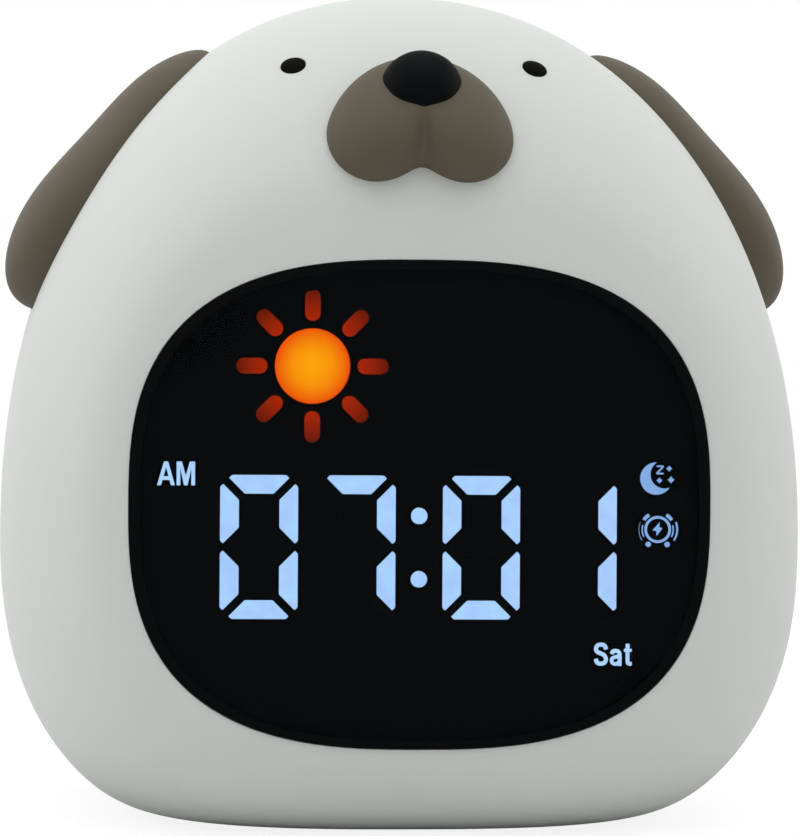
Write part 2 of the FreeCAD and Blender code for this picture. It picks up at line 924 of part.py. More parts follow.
def button_places():
    first = -(len(button_names) - 1) / 2
    return [((first + k) * button_pitch, name) for k, name in enumerate(button_names)]


def port_frame(grow, near, far):
    """A rounded box over the charging port's recess."""
    half_x, half_z = port_width / 2 + grow, port_height / 2 + grow
    box = rear_block(port_across, lower_row_rise, half_x, half_z, near, far)
    corners = [edge for edge in box.Edges if abs(edge.tangentAt(edge.FirstParameter).y) > 0.9]
    return box.makeFillet(port_corner + grow, corners)


def usb_hole(grow, near, far):
    """The round-ended outline of the charging socket."""
    radius = usb_height / 2 + grow
    run = usb_width / 2 - usb_height / 2
    ends = [rear_rod(radius, port_across + side * run, lower_row_rise, near, far) for side in (-1, 1)]
    bar = rear_block(port_across, lower_row_rise, run, radius, near, far)
    return joined([bar] + ends)


def make_panel():
    """The rear panel with its holes, its grille and the recess of the charging port."""
    plate = rear_plate(panel_half_width, panel_half_height, panel_exponent, rear_seat, panel_face)
    floor = panel_face - port_depth
    well = port_frame(port_wall, floor - port_wall, rear_seat + fuse_overlap)
    panel = plate.fuse(well)
    far = panel_face + cut_reach
    near = rear_seat - cut_reach
    cuts = [port_frame(0, floor, far), usb_hole(usb_fit, floor - cut_reach, far)]
    for across, _ in button_places():
        cuts.append(rear_rod(button_radius + button_fit, across, button_rise, near, far))
    slot = (knob_width + slide_travel) / 2 + knob_fit
    cuts.append(rear_block(slide_across, lower_row_rise, slot, knob_height / 2 + knob_fit, near, far))
    cuts.append(rear_rod(grille_radius - grille_ledge, 0, speaker_rise, near, far))
    seat = panel_face - grille_thickness
    cuts.append(rear_rod(grille_radius + part_gap, 0, speaker_rise, seat, far))
    for x, z in panel_screws():
        cuts.append(rear_rod(screw_radius + screw_clearance, x, z, near, far))
        seat = panel_face - screw_head_height
        cuts.append(rear_rod(panel_screw_head + screw_clearance, x, z, seat, far))
    return panel.cut(cuts).removeSplitter()


def make_grille():
    """The round speaker grille, with rings of small holes."""
    disc = rear_rod(grille_radius, 0, speaker_rise, panel_face - grille_thickness, panel_face)
    far = panel_face + cut_reach
    holes = [rear_rod(grille_hole, 0, speaker_rise, 0, far)]
    for ring in range(1, grille_rings + 1):
        for k in range(6 * ring):
            turn = 2 * math.pi * k / (6 * ring)
            x, z = ring * grille_pitch * math.cos(turn), ring * grille_pitch * math.sin(turn)
            holes.append(rear_rod(grille_hole, x, speaker_rise + z, 0, far))
    return disc.cut(holes)


def revolved(profile, across, rise):
    """A turned part about an axis along Y, from (radius, y) corners."""
    corners = [Vector(across + r, y, panel_height + rise) for r, y in profile]
    face = Part.Face(Part.makePolygon(corners + corners[:1]))
    return face.revolve(Vector(across, 0, panel_height + rise), Vector(0, 1, 0), 360)


def make_speaker():
    """The speaker behind the grille: its frame, cone and magnet."""
    lip = rear_seat - part_gap
    back = lip - speaker_depth
    rim = speaker_radius - speaker_rim
    floor = back + speaker_wall
    basket = speaker_radius - speaker_taper
    outside = [(rim, lip), (speaker_radius, lip), (speaker_radius, lip - speaker_rim)]
    outside += [(basket, back), (speaker_hub, back)]
    inside = [(speaker_hub, floor), (basket - fuse_overlap, floor), (rim, lip - speaker_rim - part_gap)]
    edge = rim - part_gap
    bowl = lip - cone_rise - cone_wall - cone_depth
    over = [(edge, lip - cone_rise), (edge, lip - cone_rise - cone_wall), (cone_cap, bowl)]
    under = [(0, bowl + cone_crown), (0, bowl + cone_crown + cone_wall), (cone_cap, bowl + cone_wall)]
    frame = revolved(outside + inside, 0, speaker_rise)
    cone = revolved(over + under, 0, speaker_rise)
    magnet = rear_rod(magnet_radius, 0, speaker_rise, back - magnet_depth, back)
    return {"speaker_frame": frame, "speaker_cone": cone, "speaker_magnet": magnet}


def standoff_places():
    upper = [(side * standoff_upper[0], standoff_upper[1]) for side in (-1, 1)]
    return upper + [(side * standoff_lower[0], standoff_lower[1]) for side in (-1, 1)]


def make_board():
    """The main board on its standoffs, with the parts soldered to it."""
    back = board_face - board_thickness
    low = -rear_window_half_height + board_inset
    high = standoff_upper[1] + standoff_radius + board_edge
    middle, half = (low + high) / 2, (high - low) / 2
    board = rear_block(0, middle, board_half_width, half, back, board_face)
    corners = [edge for edge in board.Edges if abs(edge.tangentAt(edge.FirstParameter).y) > 0.9]
    board = board.makeFillet(board_corner, corners)
    posts = []
    fixings = []
    for x, z in standoff_places():
        board = board.cut(rear_rod(screw_radius + screw_clearance, x, z, back, board_face))
        post = rear_rod(standoff_radius, x, z, board_face, rear_seat)
        tip = board_face + standoff_screw_reach
        posts.append(post.cut(rear_rod(screw_radius + screw_fit, x, z, board_face, tip + screw_tip_gap)))
        shank = rear_rod(screw_radius, x, z, back, tip)
        head = rear_rod(screw_head, x, z, back - screw_head_height, back)
        fixings.append(shank.fuse(head).removeSplitter())
    switches = []
    for across, _ in button_places():
        half = switch_size / 2
        body = rear_block(across, button_rise, half, half, board_face, board_face + switch_thickness)
        top = board_face + switch_thickness
        floor = board_face + switch_floor
        bore = rear_rod(plunger_radius + plunger_fit, across, button_rise, floor, top)
        switches.append(body.cut(bore))
    mouth = board_face + usb_length
    socket = usb_hole(0, board_face, mouth).cut(usb_hole(-usb_wall, board_face + usb_back, mouth))
    half_x, half_z = slide_body_width / 2, slide_body_height / 2
    deep = board_face + slide_body_depth
    body = rear_block(slide_across, lower_row_rise, half_x, half_z, board_face, deep)
    half_width = blade_half + blade_fit
    half_slot = slide_travel / 2 + half_width
    floor = deep - blade_depth - blade_fit
    track = rear_block(slide_across, lower_row_rise, half_slot, half_width, floor, deep)
    return {
        "main_board": board,
        "board_standoffs": Part.makeCompound(posts),
        "main_board_screws": Part.makeCompound(fixings),
        "tact_switches": Part.makeCompound(switches),
        "usb_socket": socket,
        "slide_switch_body": body.cut(track),
    }


def make_button(across):
    """One push button with the flange that holds it, and the switch plunger that it bears on."""
    under = rear_seat - part_gap - button_flange_thickness
    shank = rear_rod(button_radius, across, button_rise, under, panel_face + button_proud)
    rim = [edge for edge in shank.Edges if edge.BoundBox.YMin > panel_face and edge.BoundBox.YLength < 0.1]
    cap = shank.makeFillet(button_edge, rim)
    collar = rear_rod(button_flange, across, button_rise, under, under + button_flange_thickness)
    plunger_top = board_face + switch_thickness + plunger_proud
    stem = rear_rod(stem_radius, across, button_rise, plunger_top, under)
    button = joined([cap, collar, stem])
    low = board_face + switch_floor + button_travel + part_gap
    plunger = rear_rod(plunger_radius, across, button_rise, low, plunger_top)
    return button, plunger


def make_switch_lever():
    """The slide switch's knob and the blade that moves its contact, at the off end."""
    across = slide_across - slide_travel / 2
    deep = board_face + slide_body_depth
    half = knob_width / 2
    knob_low = rear_seat - knob_step
    knob = rear_block(across, lower_row_rise, half, knob_height / 2, knob_low, panel_face + knob_proud)
    blade = rear_block(across, lower_row_rise, blade_half, blade_half, deep - blade_depth, knob_low)
    top = panel_face + knob_proud
    grips = []
    for shift in (-grip_pitch, 0, grip_pitch):
        place = across + shift
        grips.append(rear_block(place, lower_row_rise, grip_half, knob_height, top - grip_depth, top))
    return joined([knob, blade]).cut(grips)


def feet_places():
    return [(x * foot_across, y * foot_deep) for x in (-1, 1) for y in (-1, 1)]


def make_base():
    """The base plate with its battery saddles, screws and feet, and the battery, by node."""
    top, axis = base_top, battery_height
    plate = base_plate_shape(0, base_clearance, top)
    ribs = []
    for side in (-1, 1):
        near = side * saddle_across - saddle_width / 2
        far = near + saddle_width
        low, high = top - fuse_overlap, axis + saddle_grip
        ribs.append(block(near, far, -saddle_half_deep, saddle_half_deep, low, high))
    cradle = Vector(-battery_length, 0, axis)
    bore = Part.makeCylinder(battery_radius + battery_fit, 2 * battery_length, cradle, Vector(1, 0, 0))
    cuts = [bore]
    cuts += [rod(foot_radius + foot_fit, x, y, 0, foot_height) for x, y in feet_places()]
    for x, y in base_screws():
        cuts.append(rod(screw_radius + screw_clearance, x, y, 0, top))
        cuts.append(rod(screw_head + head_clearance, x, y, 0, base_clearance + base_head_depth))
    ends = Vector(-battery_length / 2, 0, axis)
    cell = Part.makeCylinder(battery_radius, battery_length, ends, Vector(1, 0, 0))
    feet = []
    for x, y in feet_places():
        foot = rod(foot_radius, x, y, 0, foot_height)
        rim = [edge for edge in foot.Edges if edge.BoundBox.ZMax < 0.1]
        feet.append(foot.makeFillet(foot_edge, rim))
    seat = base_clearance + base_head_depth
    tip = base_hole_top - screw_tip_gap / 2
    fixings = screws(base_screws(), seat, tip, head_up=False, head_height=base_head_height)
    return {
        "base_plate": plate.fuse(ribs).cut(cuts),
        "battery_cell": cell,
        "rubber_feet": Part.makeCompound(feet),
        "base_screws": Part.makeCompound(fixings),
    }


def make_fasteners():
    """The screws of the housing and of the rear panel, by node."""
    housing = []
    for x, z in screw_posts():
        start = split_at - housing_screw_reach + screw_tip_gap
        end = split_at + housing_screw_reach
        shank = Part.makeCylinder(screw_radius, end - start, Vector(x, start, z), Vector(0, 1, 0))
        head = Part.makeCylinder(screw_head, screw_head_height, Vector(x, end, z), Vector(0, 1, 0))
        housing.append(shank.fuse(head).removeSplitter())
    panel = []
    for x, z in panel_screws():
        seat = panel_face - screw_head_height
        top = panel_face - head_recess
        shank = rear_rod(screw_radius, x, z, rear_seat - panel_screw_reach, seat)
        head = rear_rod(panel_screw_head, x, z, seat, top)
        cross = [rear_block(x, z, cross_reach, cross_half_width, top - cross_depth, panel_face)]
        cross.append(rear_block(x, z, cross_half_width, cross_reach, top - cross_depth, panel_face))
        panel.append(shank.fuse(head).cut(cross))
    return {
        "housing_screws": Part.makeCompound(housing),
        "panel_screws": Part.makeCompound(panel),
    }


def build():
    """Every node's shape, by name."""
    grown_body = body_solid(-bond_gap, skin_bottom)
    outline = muzzle_outline()
    muzzle = wrapped_dome(
        FRONT, math.radians(muzzle_angle), outline, -dome_sink, muzzle_rise, muzzle_fullness
    )
    nodes = {
        "silicone_skin": make_skin(),
        "muzzle": muzzle.cut([grown_body, nose_solid(bond_gap)]),
        "nose": nose_solid(),
        "ear_right": ear_solid(0.0, grown_body),
        "ear_left": ear_solid(math.pi, grown_body),
        "eye_left": eye_solid(-1),
        "eye_right": eye_solid(1),
        "rear_panel": make_panel(),
        "speaker_grille": make_grille(),
        "switch_lever": make_switch_lever(),
    }
    nodes["front_housing"], nodes["rear_housing"] = make_housing()
    nodes.update(make_display())
    nodes.update(make_light())
    nodes.update(make_speaker())
    nodes.update(make_board())
    nodes.update(make_base())
    nodes.update(make_fasteners())
    for across, name in button_places():
        nodes["button_" + name], nodes["plunger_" + name] = make_button(across)
    return nodes


def main():
    os.makedirs("parts", exist_ok=True)
    for name, shape in build().items():
        export(name, shape)


if __name__ == "__main__":
    main()
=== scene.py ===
"""The looks of a child's dog-shaped alarm clock with a night light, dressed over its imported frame.

Lengths are in metres. X is to the right, -Y out of the display and +Z up, from the middle of the base.
"""

from __future__ import annotations

import logging
import math
from collections.abc import Callable
from dataclasses import dataclass, field, replace
from enum import Enum

import bmesh
import bpy
from mathutils import Matrix, Vector

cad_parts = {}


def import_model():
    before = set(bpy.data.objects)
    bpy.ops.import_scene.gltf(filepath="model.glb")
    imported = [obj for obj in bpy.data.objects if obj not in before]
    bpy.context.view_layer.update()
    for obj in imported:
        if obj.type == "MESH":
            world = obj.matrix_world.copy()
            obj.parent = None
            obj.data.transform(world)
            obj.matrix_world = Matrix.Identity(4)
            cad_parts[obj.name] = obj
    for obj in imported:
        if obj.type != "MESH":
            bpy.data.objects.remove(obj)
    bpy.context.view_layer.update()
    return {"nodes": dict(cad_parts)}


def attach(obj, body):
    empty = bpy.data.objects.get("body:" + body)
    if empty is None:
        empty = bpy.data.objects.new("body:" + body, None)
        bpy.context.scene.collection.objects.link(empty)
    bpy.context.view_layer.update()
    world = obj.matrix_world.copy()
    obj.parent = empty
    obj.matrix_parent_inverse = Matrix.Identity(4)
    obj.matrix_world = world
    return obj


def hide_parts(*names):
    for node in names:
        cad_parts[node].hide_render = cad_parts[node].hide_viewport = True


LOG = logging.getLogger("alarm_clock")
MM = 0.001
NODE_WELD = 0.001 * MM
SEAM_WELD = 0.002 * MM
SLIVER = 0.0001 * MM
LEAST_REACH = 0.01 * MM
SOFT_CUTOFF = 40.0
TOOL_REACH = 8 * MM
CAPITAL_SHARE = 0.69
BOLDNESS = 0.035
SPLINE_PASSES = 44
LETTER_WIDTHS = {"A": 0.75, "M": 0.775, "S": 0.62, "a": 0.53, "t": 0.37}
BLACK_GLOW = (0.0, 0.0, 0.0, 1.0)
WHITE = (1.0, 1.0, 1.0, 1.0)
CLOCK_BODY = "clock"
Colour = tuple[float, float, float]
Place = tuple[float, float, float]
Point = tuple[float, float]
Outline = list[Point]


def from_screen(red: int, green: int, blue: int) -> Colour:
    """Turn a screen colour into the linear colour that shaders use.

    Args:
        red: Red from 0 to 255.
        green: Green from 0 to 255.
        blue: Blue from 0 to 255.

    Returns:
        The linear red, green and blue.
    """
    shares = [value / 255 for value in (red, green, blue)]
    return tuple(s / 12.92 if s <= 0.04045 else ((s + 0.055) / 1.055) ** 2.4 for s in shares)


def _operator(operation: str, turned: bool = False) -> Callable[[Wire, Wire | float], Wire]:
    """Return a method that adds one Math node with two values.

    Args:
        operation: The node's operation.
        turned: Whether the wire is the second value.

    Returns:
        The method.
    """

    def method(wire: Wire, other: Wire | float) -> Wire:
        """Return the node's output."""
        return wire.apply(operation, other, wire) if turned else wire.apply(operation, wire, other)

    return method


def _function(operation: str) -> Callable[[Wire], Wire]:
    """Return a method that adds one Math node with a single value.

    Args:
        operation: The node's operation.

    Returns:
        The method.
    """

    def method(wire: Wire) -> Wire:
        """Return the node's output."""
        return wire.apply(operation, wire)

    return method


class Wire:
    """A node's output that adds Math nodes when it is used in arithmetic."""

    __add__ = _operator("ADD")
    __sub__ = _operator("SUBTRACT")
    __rsub__ = _operator("SUBTRACT", turned=True)
    __mul__ = _operator("MULTIPLY")
    __truediv__ = _operator("DIVIDE")
    __rtruediv__ = _operator("DIVIDE", turned=True)
    __pow__ = _operator("POWER")
    __gt__ = _operator("GREATER_THAN")
    at_least = _operator("MAXIMUM")
    at_most = _operator("MINIMUM")
    __abs__ = _function("ABSOLUTE")
    sine = _function("SINE")
    cosine = _function("COSINE")
    exponent = _function("EXPONENT")

    def __init__(self, graph: Graph, socket: bpy.types.NodeSocket) -> None:
        """Wrap a socket of a graph."""
        self.graph = graph
        self.socket = socket

    def apply(self, operation: str, first: Wire | float, second: Wire | float | None = None) -> Wire:
        """Add one Math node.

        Args:
            operation: The node's operation.
            first: Its first value.
            second: Its second value, where the operation has one.

        Returns:
            The node's output.
        """
        values = {0: first} if second is None else {0: first, 1: second}
        return self.graph.node("ShaderNodeMath", {"operation": operation}, values)

    def natural_log(self) -> Wire:
        """Return the natural logarithm."""
        return self.apply("LOGARITHM", self, math.e)

    def part(self, name: str) -> Wire:
        """Return another output of the same node."""
        return Wire(self.graph, self.socket.node.outputs[name])


class Graph:
    """A node tree that is written as Python expressions."""

    def __init__(self, tree: bpy.types.NodeTree) -> None:
        """Wrap a node tree."""
        self.tree = tree

    def node(self, kind: str, settings: dict | None = None, values: dict | None = None) -> Wire:
        """Add a node.

        Args:
            kind: The node's type.
            settings: Its properties, set before its values. A ramp's stops go under "stops".
            values: A value or a link for each input, by name or number.

        Returns:
            The node's first output, or the node's wrapper where it has none.
        """
        made = self.tree.nodes.new(kind)
        for name, value in (settings or {}).items():
            if name == "stops":
                self._set_stops(made.color_ramp, value)
            else:
                setattr(made, name, value)
        for name, value in (values or {}).items():
            if isinstance(value, Wire):
                self.tree.links.new(value.socket, made.inputs[name])
            else:
                made.inputs[name].default_value = value
        shown = [out for out in made.outputs if out.enabled]
        return Wire(self, shown[0] if shown else None)

    @staticmethod
    def _set_stops(ramp: bpy.types.ColorRamp, stops: list[tuple[float, Colour]]) -> None:
        """Give a ramp its stops.

        Args:
            ramp: The ramp.
            stops: Each stop's place and linear colour.
        """
        while len(ramp.elements) < len(stops):
            ramp.elements.new(1.0)
        for element, (place, colour) in zip(ramp.elements, stops):
            element.position = place
            element.color = (*colour, 1.0)

    def mix(self, share: Wire | float, first: Wire | Colour, second: Wire | Colour) -> Wire:
        """Mix two colours.

        Args:
            share: How much of the second, from 0 to 1.
            first: The first colour.
            second: The second colour.

        Returns:
            The mixed colour.
        """
        made = self.tree.nodes.new("ShaderNodeMix")
        made.data_type = "RGBA"
        for number, value in ((0, share), (6, first), (7, second)):
            if isinstance(value, Wire):
                self.tree.links.new(value.socket, made.inputs[number])
            elif number:
                made.inputs[number].default_value = (*value, 1.0)
            else:
                made.inputs[number].default_value = value
        return Wire(self, made.outputs[2])

    def noise(self, where: Wire, scale: float, detail: float = 3.0) -> Wire:
        """Add fractal noise.

        Args:
            where: The place to read it at.
            scale: Its cells to the metre.
            detail: Its octaves.

        Returns:
            The noise from 0 to 1.
        """
        return self.node("ShaderNodeTexNoise", {}, {"Vector": where, "Scale": scale, "Detail": detail})

    def place(self) -> Wire:
        """Return the place in the object's own frame, for a material to read."""
        return self.node("ShaderNodeTexCoord").part("Object")

    def split(self, vector: Wire) -> Wire:
        """Return a vector's parts, by the names X, Y and Z."""
        return self.node("ShaderNodeSeparateXYZ", {}, {0: vector})

    def joined(self, x: Wire, y: Wire, z: Wire) -> Wire:
        """Return the vector of three values."""
        return self.node("ShaderNodeCombineXYZ", {}, {"X": x, "Y": y, "Z": z})

    def sheet(self, columns: int, rows: int) -> tuple[Wire, Wire]:
        """Add a flat grid that a node tree then bends.

        Args:
            columns: How many points it has along X.
            rows: How many points it has along Y.

        Returns:
            The grid, and its place by the names X and Y, each from -0.5 to 0.5.
        """
        values = {"Size X": 1.0, "Size Y": 1.0, "Vertices X": columns, "Vertices Y": rows}
        made = self.node("GeometryNodeMeshGrid", {}, values)
        return made, self.split(self.node("GeometryNodeInputPosition"))

    def bent(self, sheet: Wire, spot: Wire) -> Wire:
        """Move a grid's points to their places and weld its seam and poles.

        Args:
            sheet: The grid.
            spot: The place of each point.

        Returns:
            The bent geometry.
        """
        moved = self.node("GeometryNodeSetPosition", {}, {"Geometry": sheet, "Position": spot})
        weld = {"Geometry": moved, "Distance": NODE_WELD}
        return self.node("GeometryNodeMergeByDistance", {}, weld)

    def shifted(self, geometry: Wire, x: float, y: float, z: float) -> Wire:
        """Return a geometry moved by a distance along each axis."""
        return self.node("GeometryNodeTransform", {}, {"Geometry": geometry, "Translation": (x, y, z)})

    def surface(self, values: dict[str, Wire | float | tuple]) -> None:
        """Add a principled surface as the material's own.

        Args:
            values: A value or a link for each of its inputs, by name.
        """
        made = self.node("ShaderNodeBsdfPrincipled", {}, values)
        self.node("ShaderNodeOutputMaterial", {}, {"Surface": made})


def new_material(name: str) -> tuple[bpy.types.Material, Graph]:
    """Make a material with an empty node tree.

    Args:
        name: The material's name.

    Returns:
        The material, and its node tree as a graph.
    """
    made = bpy.data.materials.new(name)
    made.use_nodes = True
    made.node_tree.nodes.clear()
    return made, Graph(made.node_tree)


@dataclass(frozen=True)
class Finish:
    """An opaque moulded or painted surface with slow mottling and fine grain."""

    name: str
    colour: Colour
    dark: Colour
    roughness: float = 0.55
    specular: float = 0.4
    mottle_scale: float = 60.0
    grain_scale: float = 2600.0
    grain_height: float = 0.00002
    grain_strength: float = 0.25
    subsurface: float = 0.0
    subsurface_reach: float = 0.0
    metallic: float = 0.0
    slow_wear: float = 0.12
    fine_wear: float = 0.06

    def material(self) -> bpy.types.Material:
        """Build the material.

        Returns:
            A material whose colour, roughness and bump come from its nodes.
        """
        made, graph = new_material(self.name)
        where = graph.place()
        slow = graph.noise(where, self.mottle_scale)
        fine = graph.noise(where, self.grain_scale, 2.0)
        relief = {"Strength": self.grain_strength, "Distance": self.grain_height, "Height": fine}
        graph.surface(
            {
                "Base Color": graph.mix(slow, self.dark, self.colour),
                "Roughness": (slow - 0.5) * self.slow_wear + (fine - 0.5) * self.fine_wear + self.roughness,
                "Metallic": self.metallic,
                "Specular IOR Level": self.specular,
                "Subsurface Weight": self.subsurface,
                "Subsurface Radius": (1.0, 0.95, 0.9),
                "Subsurface Scale": max(self.subsurface_reach, LEAST_REACH),
                "Emission Color": BLACK_GLOW,
                "Normal": graph.node("ShaderNodeBump", {}, relief),
            }
        )
        return made


@dataclass(frozen=True)
class LitFinish:
    """A diffuser lit from behind, brighter over its light and mottled by its moulding."""

    name: str
    bright: Colour
    edge: Colour
    body: Colour = (0.004, 0.004, 0.004)
    strength: float = 2.38
    centre: Place = (0.0, 0.0, 0.0)
    reach: float = 0.0
    mottle_scale: float = 420.0
    specular: float = 0.02
    roughness: float = 0.5

    def material(self) -> bpy.types.Material:
        """Build the material.

        Returns:
            A material that glows, by distance from its centre where it has a reach.
        """
        made, graph = new_material(self.name)
        where = graph.place()
        slow = graph.noise(where, self.mottle_scale, 2.0)
        if self.reach:
            away = graph.node("ShaderNodeVectorMath", {"operation": "DISTANCE"}, {0: where, 1: self.centre})
            away = away.part("Value")
            share = ((away / self.reach) ** 2.0 + (slow - 0.5) * 0.1).at_most(1.0).at_least(0.0)
        else:
            share = (slow * 1.6 - 0.3).at_most(1.0).at_least(0.0)
        graph.surface(
            {
                "Base Color": (*self.body, 1.0),
                "Roughness": slow * 0.1 + self.roughness,
                "Specular IOR Level": self.specular,
                "Emission Color": graph.mix(share, self.bright, self.edge),
                "Emission Strength": self.strength,
            }
        )
        return made


@dataclass(frozen=True)
class LensFinish:
    """Smoked clear plastic that shows the lit display behind it, inside a black printed border."""

    name: str = "smoked_lens"
    colour: Colour = (0.0018, 0.0028, 0.0036)
    cover: float = 0.35
    roughness: float = 0.16
    specular: float = 0.05
    mottle_scale: float = 35.0
    half_width: float = 41.8 * MM
    half_height: float = 35.0 * MM
    exponent: float = 2.75
    middle: float = 48.7 * MM
    border: float = 0.9
    border_colour: Colour = (0.0002, 0.0006, 0.001)

    def material(self) -> bpy.types.Material:
        """Build the material.

        Returns:
            A dark glossy material that is partly clear.
        """
        made, graph = new_material(self.name)
        where = graph.place()
        slow = graph.noise(where, self.mottle_scale)
        place = graph.split(where)
        out = (abs(place.part("X")) / self.half_width) ** self.exponent
        out = out + (abs(place.part("Z") - self.middle) / self.half_height) ** self.exponent
        printed = out > self.border
        graph.surface(
            {
                "Base Color": graph.mix(printed, self.colour, self.border_colour),
                "Roughness": slow * 0.06 + self.roughness,
                "Specular IOR Level": self.specular,
                "Alpha": printed * (1.0 - self.cover) + self.cover,
            }
        )
        return made


class Paint(Enum):
    """The finishes of the clock's pieces."""

    SKIN = Finish(
        "white_silicone",
        from_screen(225, 229, 225),
        from_screen(218, 222, 217),
        roughness=0.62,
        specular=0.3,
        mottle_scale=14.0,
        subsurface=0.25,
        subsurface_reach=0.003,
    )
    BROWN = Finish(
        "brown_silicone",
        from_screen(98, 90, 75),
        from_screen(88, 80, 66),
        roughness=0.62,
        specular=0.22,
        mottle_scale=70.0,
        grain_strength=0.4,
    )
    NOSE = Finish(
        "nose_silicone",
        from_screen(12, 14, 15),
        from_screen(9, 10, 12),
        roughness=0.6,
        specular=0.04,
        mottle_scale=90.0,
    )
    EYE = Finish(
        "eye_black",
        from_screen(12, 12, 10),
        from_screen(9, 9, 8),
        roughness=0.6,
        specular=0.02,
        mottle_scale=300.0,
    )
    HOUSING = Finish(
        "housing_plastic", from_screen(222, 223, 219), from_screen(214, 215, 210), roughness=0.5
    )
    PANEL = Finish(
        "panel_plastic",
        from_screen(214, 216, 211),
        from_screen(206, 208, 203),
        roughness=0.48,
        grain_scale=3200.0,
    )
    BLACK = Finish(
        "mask_black", from_screen(13, 16, 18), from_screen(10, 13, 15), roughness=0.7, specular=0.05
    )
    BUTTON = Finish("button_grey", from_screen(150, 152, 150), from_screen(142, 144, 142), roughness=0.45)
    MARK = Finish("mark_grey", from_screen(70, 72, 72), from_screen(62, 64, 64), roughness=0.5)
    DARK = Finish("dark_plastic", from_screen(48, 49, 50), from_screen(40, 41, 42), roughness=0.5)
    RUBBER = Finish("foot_rubber", from_screen(58, 58, 57), from_screen(48, 48, 47), roughness=0.75)
    BOARD = Finish(
        "circuit_board", from_screen(24, 88, 52), from_screen(18, 74, 44), roughness=0.35, mottle_scale=400.0
    )
    CHIP = Finish("light_chip", from_screen(236, 232, 196), from_screen(228, 222, 180), roughness=0.35)
    WRAP = Finish("cell_wrap", from_screen(52, 92, 140), from_screen(44, 82, 128), roughness=0.3)
    CONE = Finish("speaker_cone", from_screen(42, 42, 42), from_screen(34, 34, 34), roughness=0.8)
    STEEL = Finish(
        "plated_steel",
        from_screen(196, 197, 200),
        from_screen(178, 180, 184),
        roughness=0.32,
        metallic=1.0,
        mottle_scale=500.0,
    )
    BRASS = Finish(
        "machined_brass",
        from_screen(208, 176, 104),
        from_screen(190, 158, 90),
        roughness=0.3,
        metallic=1.0,
        mottle_scale=500.0,
    )
    LENS = LensFinish()
    DIGIT = LitFinish("digit_glow", from_screen(172, 214, 255), from_screen(160, 194, 250))
    WORD = LitFinish("word_glow", from_screen(180, 218, 255), from_screen(162, 202, 250))
    ICON = LitFinish("icon_glow", from_screen(138, 176, 230), from_screen(124, 164, 220))
    SUN = LitFinish("sun_glow", from_screen(255, 164, 0), from_screen(230, 74, 0))
    RAY = LitFinish("ray_glow", from_screen(192, 44, 0), from_screen(96, 18, 0))


def add_mesh(name: str, shape: bmesh.types.BMesh, *materials: bpy.types.Material) -> bpy.types.Object:
    """Turn a finished bmesh into a linked object.

    Args:
        name: The piece's name.
        shape: The bmesh, which is freed.
        *materials: Its materials, in slot order.

    Returns:
        The object, at the origin.
    """
    mesh = bpy.data.meshes.new(name)
    shape.to_mesh(mesh)
    shape.free()
    for material in materials:
        mesh.materials.append(material)
    made = bpy.data.objects.new(name, mesh)
    bpy.context.scene.collection.objects.link(made)
    return made


def smooth(piece: bpy.types.Object, sharp_angle: float = 35.0) -> bpy.types.Object:
    """Shade a piece smoothly, with its sharp edges kept.

    Args:
        piece: The object.
        sharp_angle: The angle in degrees past which an edge stays sharp.

    Returns:
        The same object.
    """
    mesh = piece.data
    mesh.shade_smooth()
    mesh.set_sharp_from_angle(angle=math.radians(sharp_angle))
    return piece


def baked(piece: bpy.types.Object) -> bpy.types.Object:
    """Turn a piece with live modifiers into a plain mesh.

    Args:
        piece: The object.

    Returns:
        The same object, without modifiers.
    """
    bpy.context.view_layer.update()
    graph = bpy.context.evaluated_depsgraph_get()
    mesh = bpy.data.meshes.new_from_object(piece.evaluated_get(graph))
    piece.modifiers.clear()
    old = piece.data
    piece.data = mesh
    if isinstance(old, bpy.types.Mesh):
        bpy.data.meshes.remove(old)
    return piece


def sealed(piece: bpy.types.Object, slivers: bool = False) -> bpy.types.Object:
    """Weld a piece's seam and poles, close its ends and turn its faces outwards.

    Args:
        piece: The object.
        slivers: Whether edges of no length are dissolved too.

    Returns:
        The same object.
    """
    shape = bmesh.new()
    shape.from_mesh(piece.data)
    bmesh.ops.remove_doubles(shape, verts=shape.verts, dist=SEAM_WELD)
    if slivers:
        bmesh.ops.dissolve_degenerate(shape, edges=shape.edges, dist=SLIVER)
    bmesh.ops.holes_fill(shape, edges=[edge for edge in shape.edges if edge.is_boundary], sides=0)
    bmesh.ops.recalc_face_normals(shape, faces=shape.faces)
    shape.to_mesh(piece.data)
    shape.free()
    return piece


def cut_away(piece: bpy.types.Object, *tools: bpy.types.Object) -> bpy.types.Object:
    """Cut tools out of a piece, and remove the tools.

    Args:
        piece: The object to cut.
        *tools: Closed objects that are cut out of it.

    Returns:
        The piece, as a plain mesh.
    """
    for tool in tools:
        cut = piece.modifiers.new("cut", "BOOLEAN")
        cut.operation = "DIFFERENCE"
        cut.solver = "EXACT"
        cut.object = tool
    baked(piece)
    for tool in tools:
        bpy.data.objects.remove(tool)
    return piece


def superellipse(half_x: float, half_y: float, exponent: float, count: int) -> Outline:
    """Return points at equal plan angles round a superellipse.

    Args:
        half_x: Half its width.
        half_y: Half its height.
        exponent: Its exponent.
        count: How many points.

    Returns:
        The points, anticlockwise.
    """
    points = []
    for k in range(count):
        turn = 2 * math.pi * k / count
        across, up = math.cos(turn), math.sin(turn)
        sides = (abs(across) / half_x) ** exponent + (abs(up) / half_y) ** exponent
        radius = sides ** (-1 / exponent)
        points.append((radius * across, radius * up))
    return points


def turns(start: float, end: float, count: int) -> list[float]:
    """Return even angles in radians between two angles in degrees."""
    return [math.radians(start + (end - start) * k / (count - 1)) for k in range(count)]


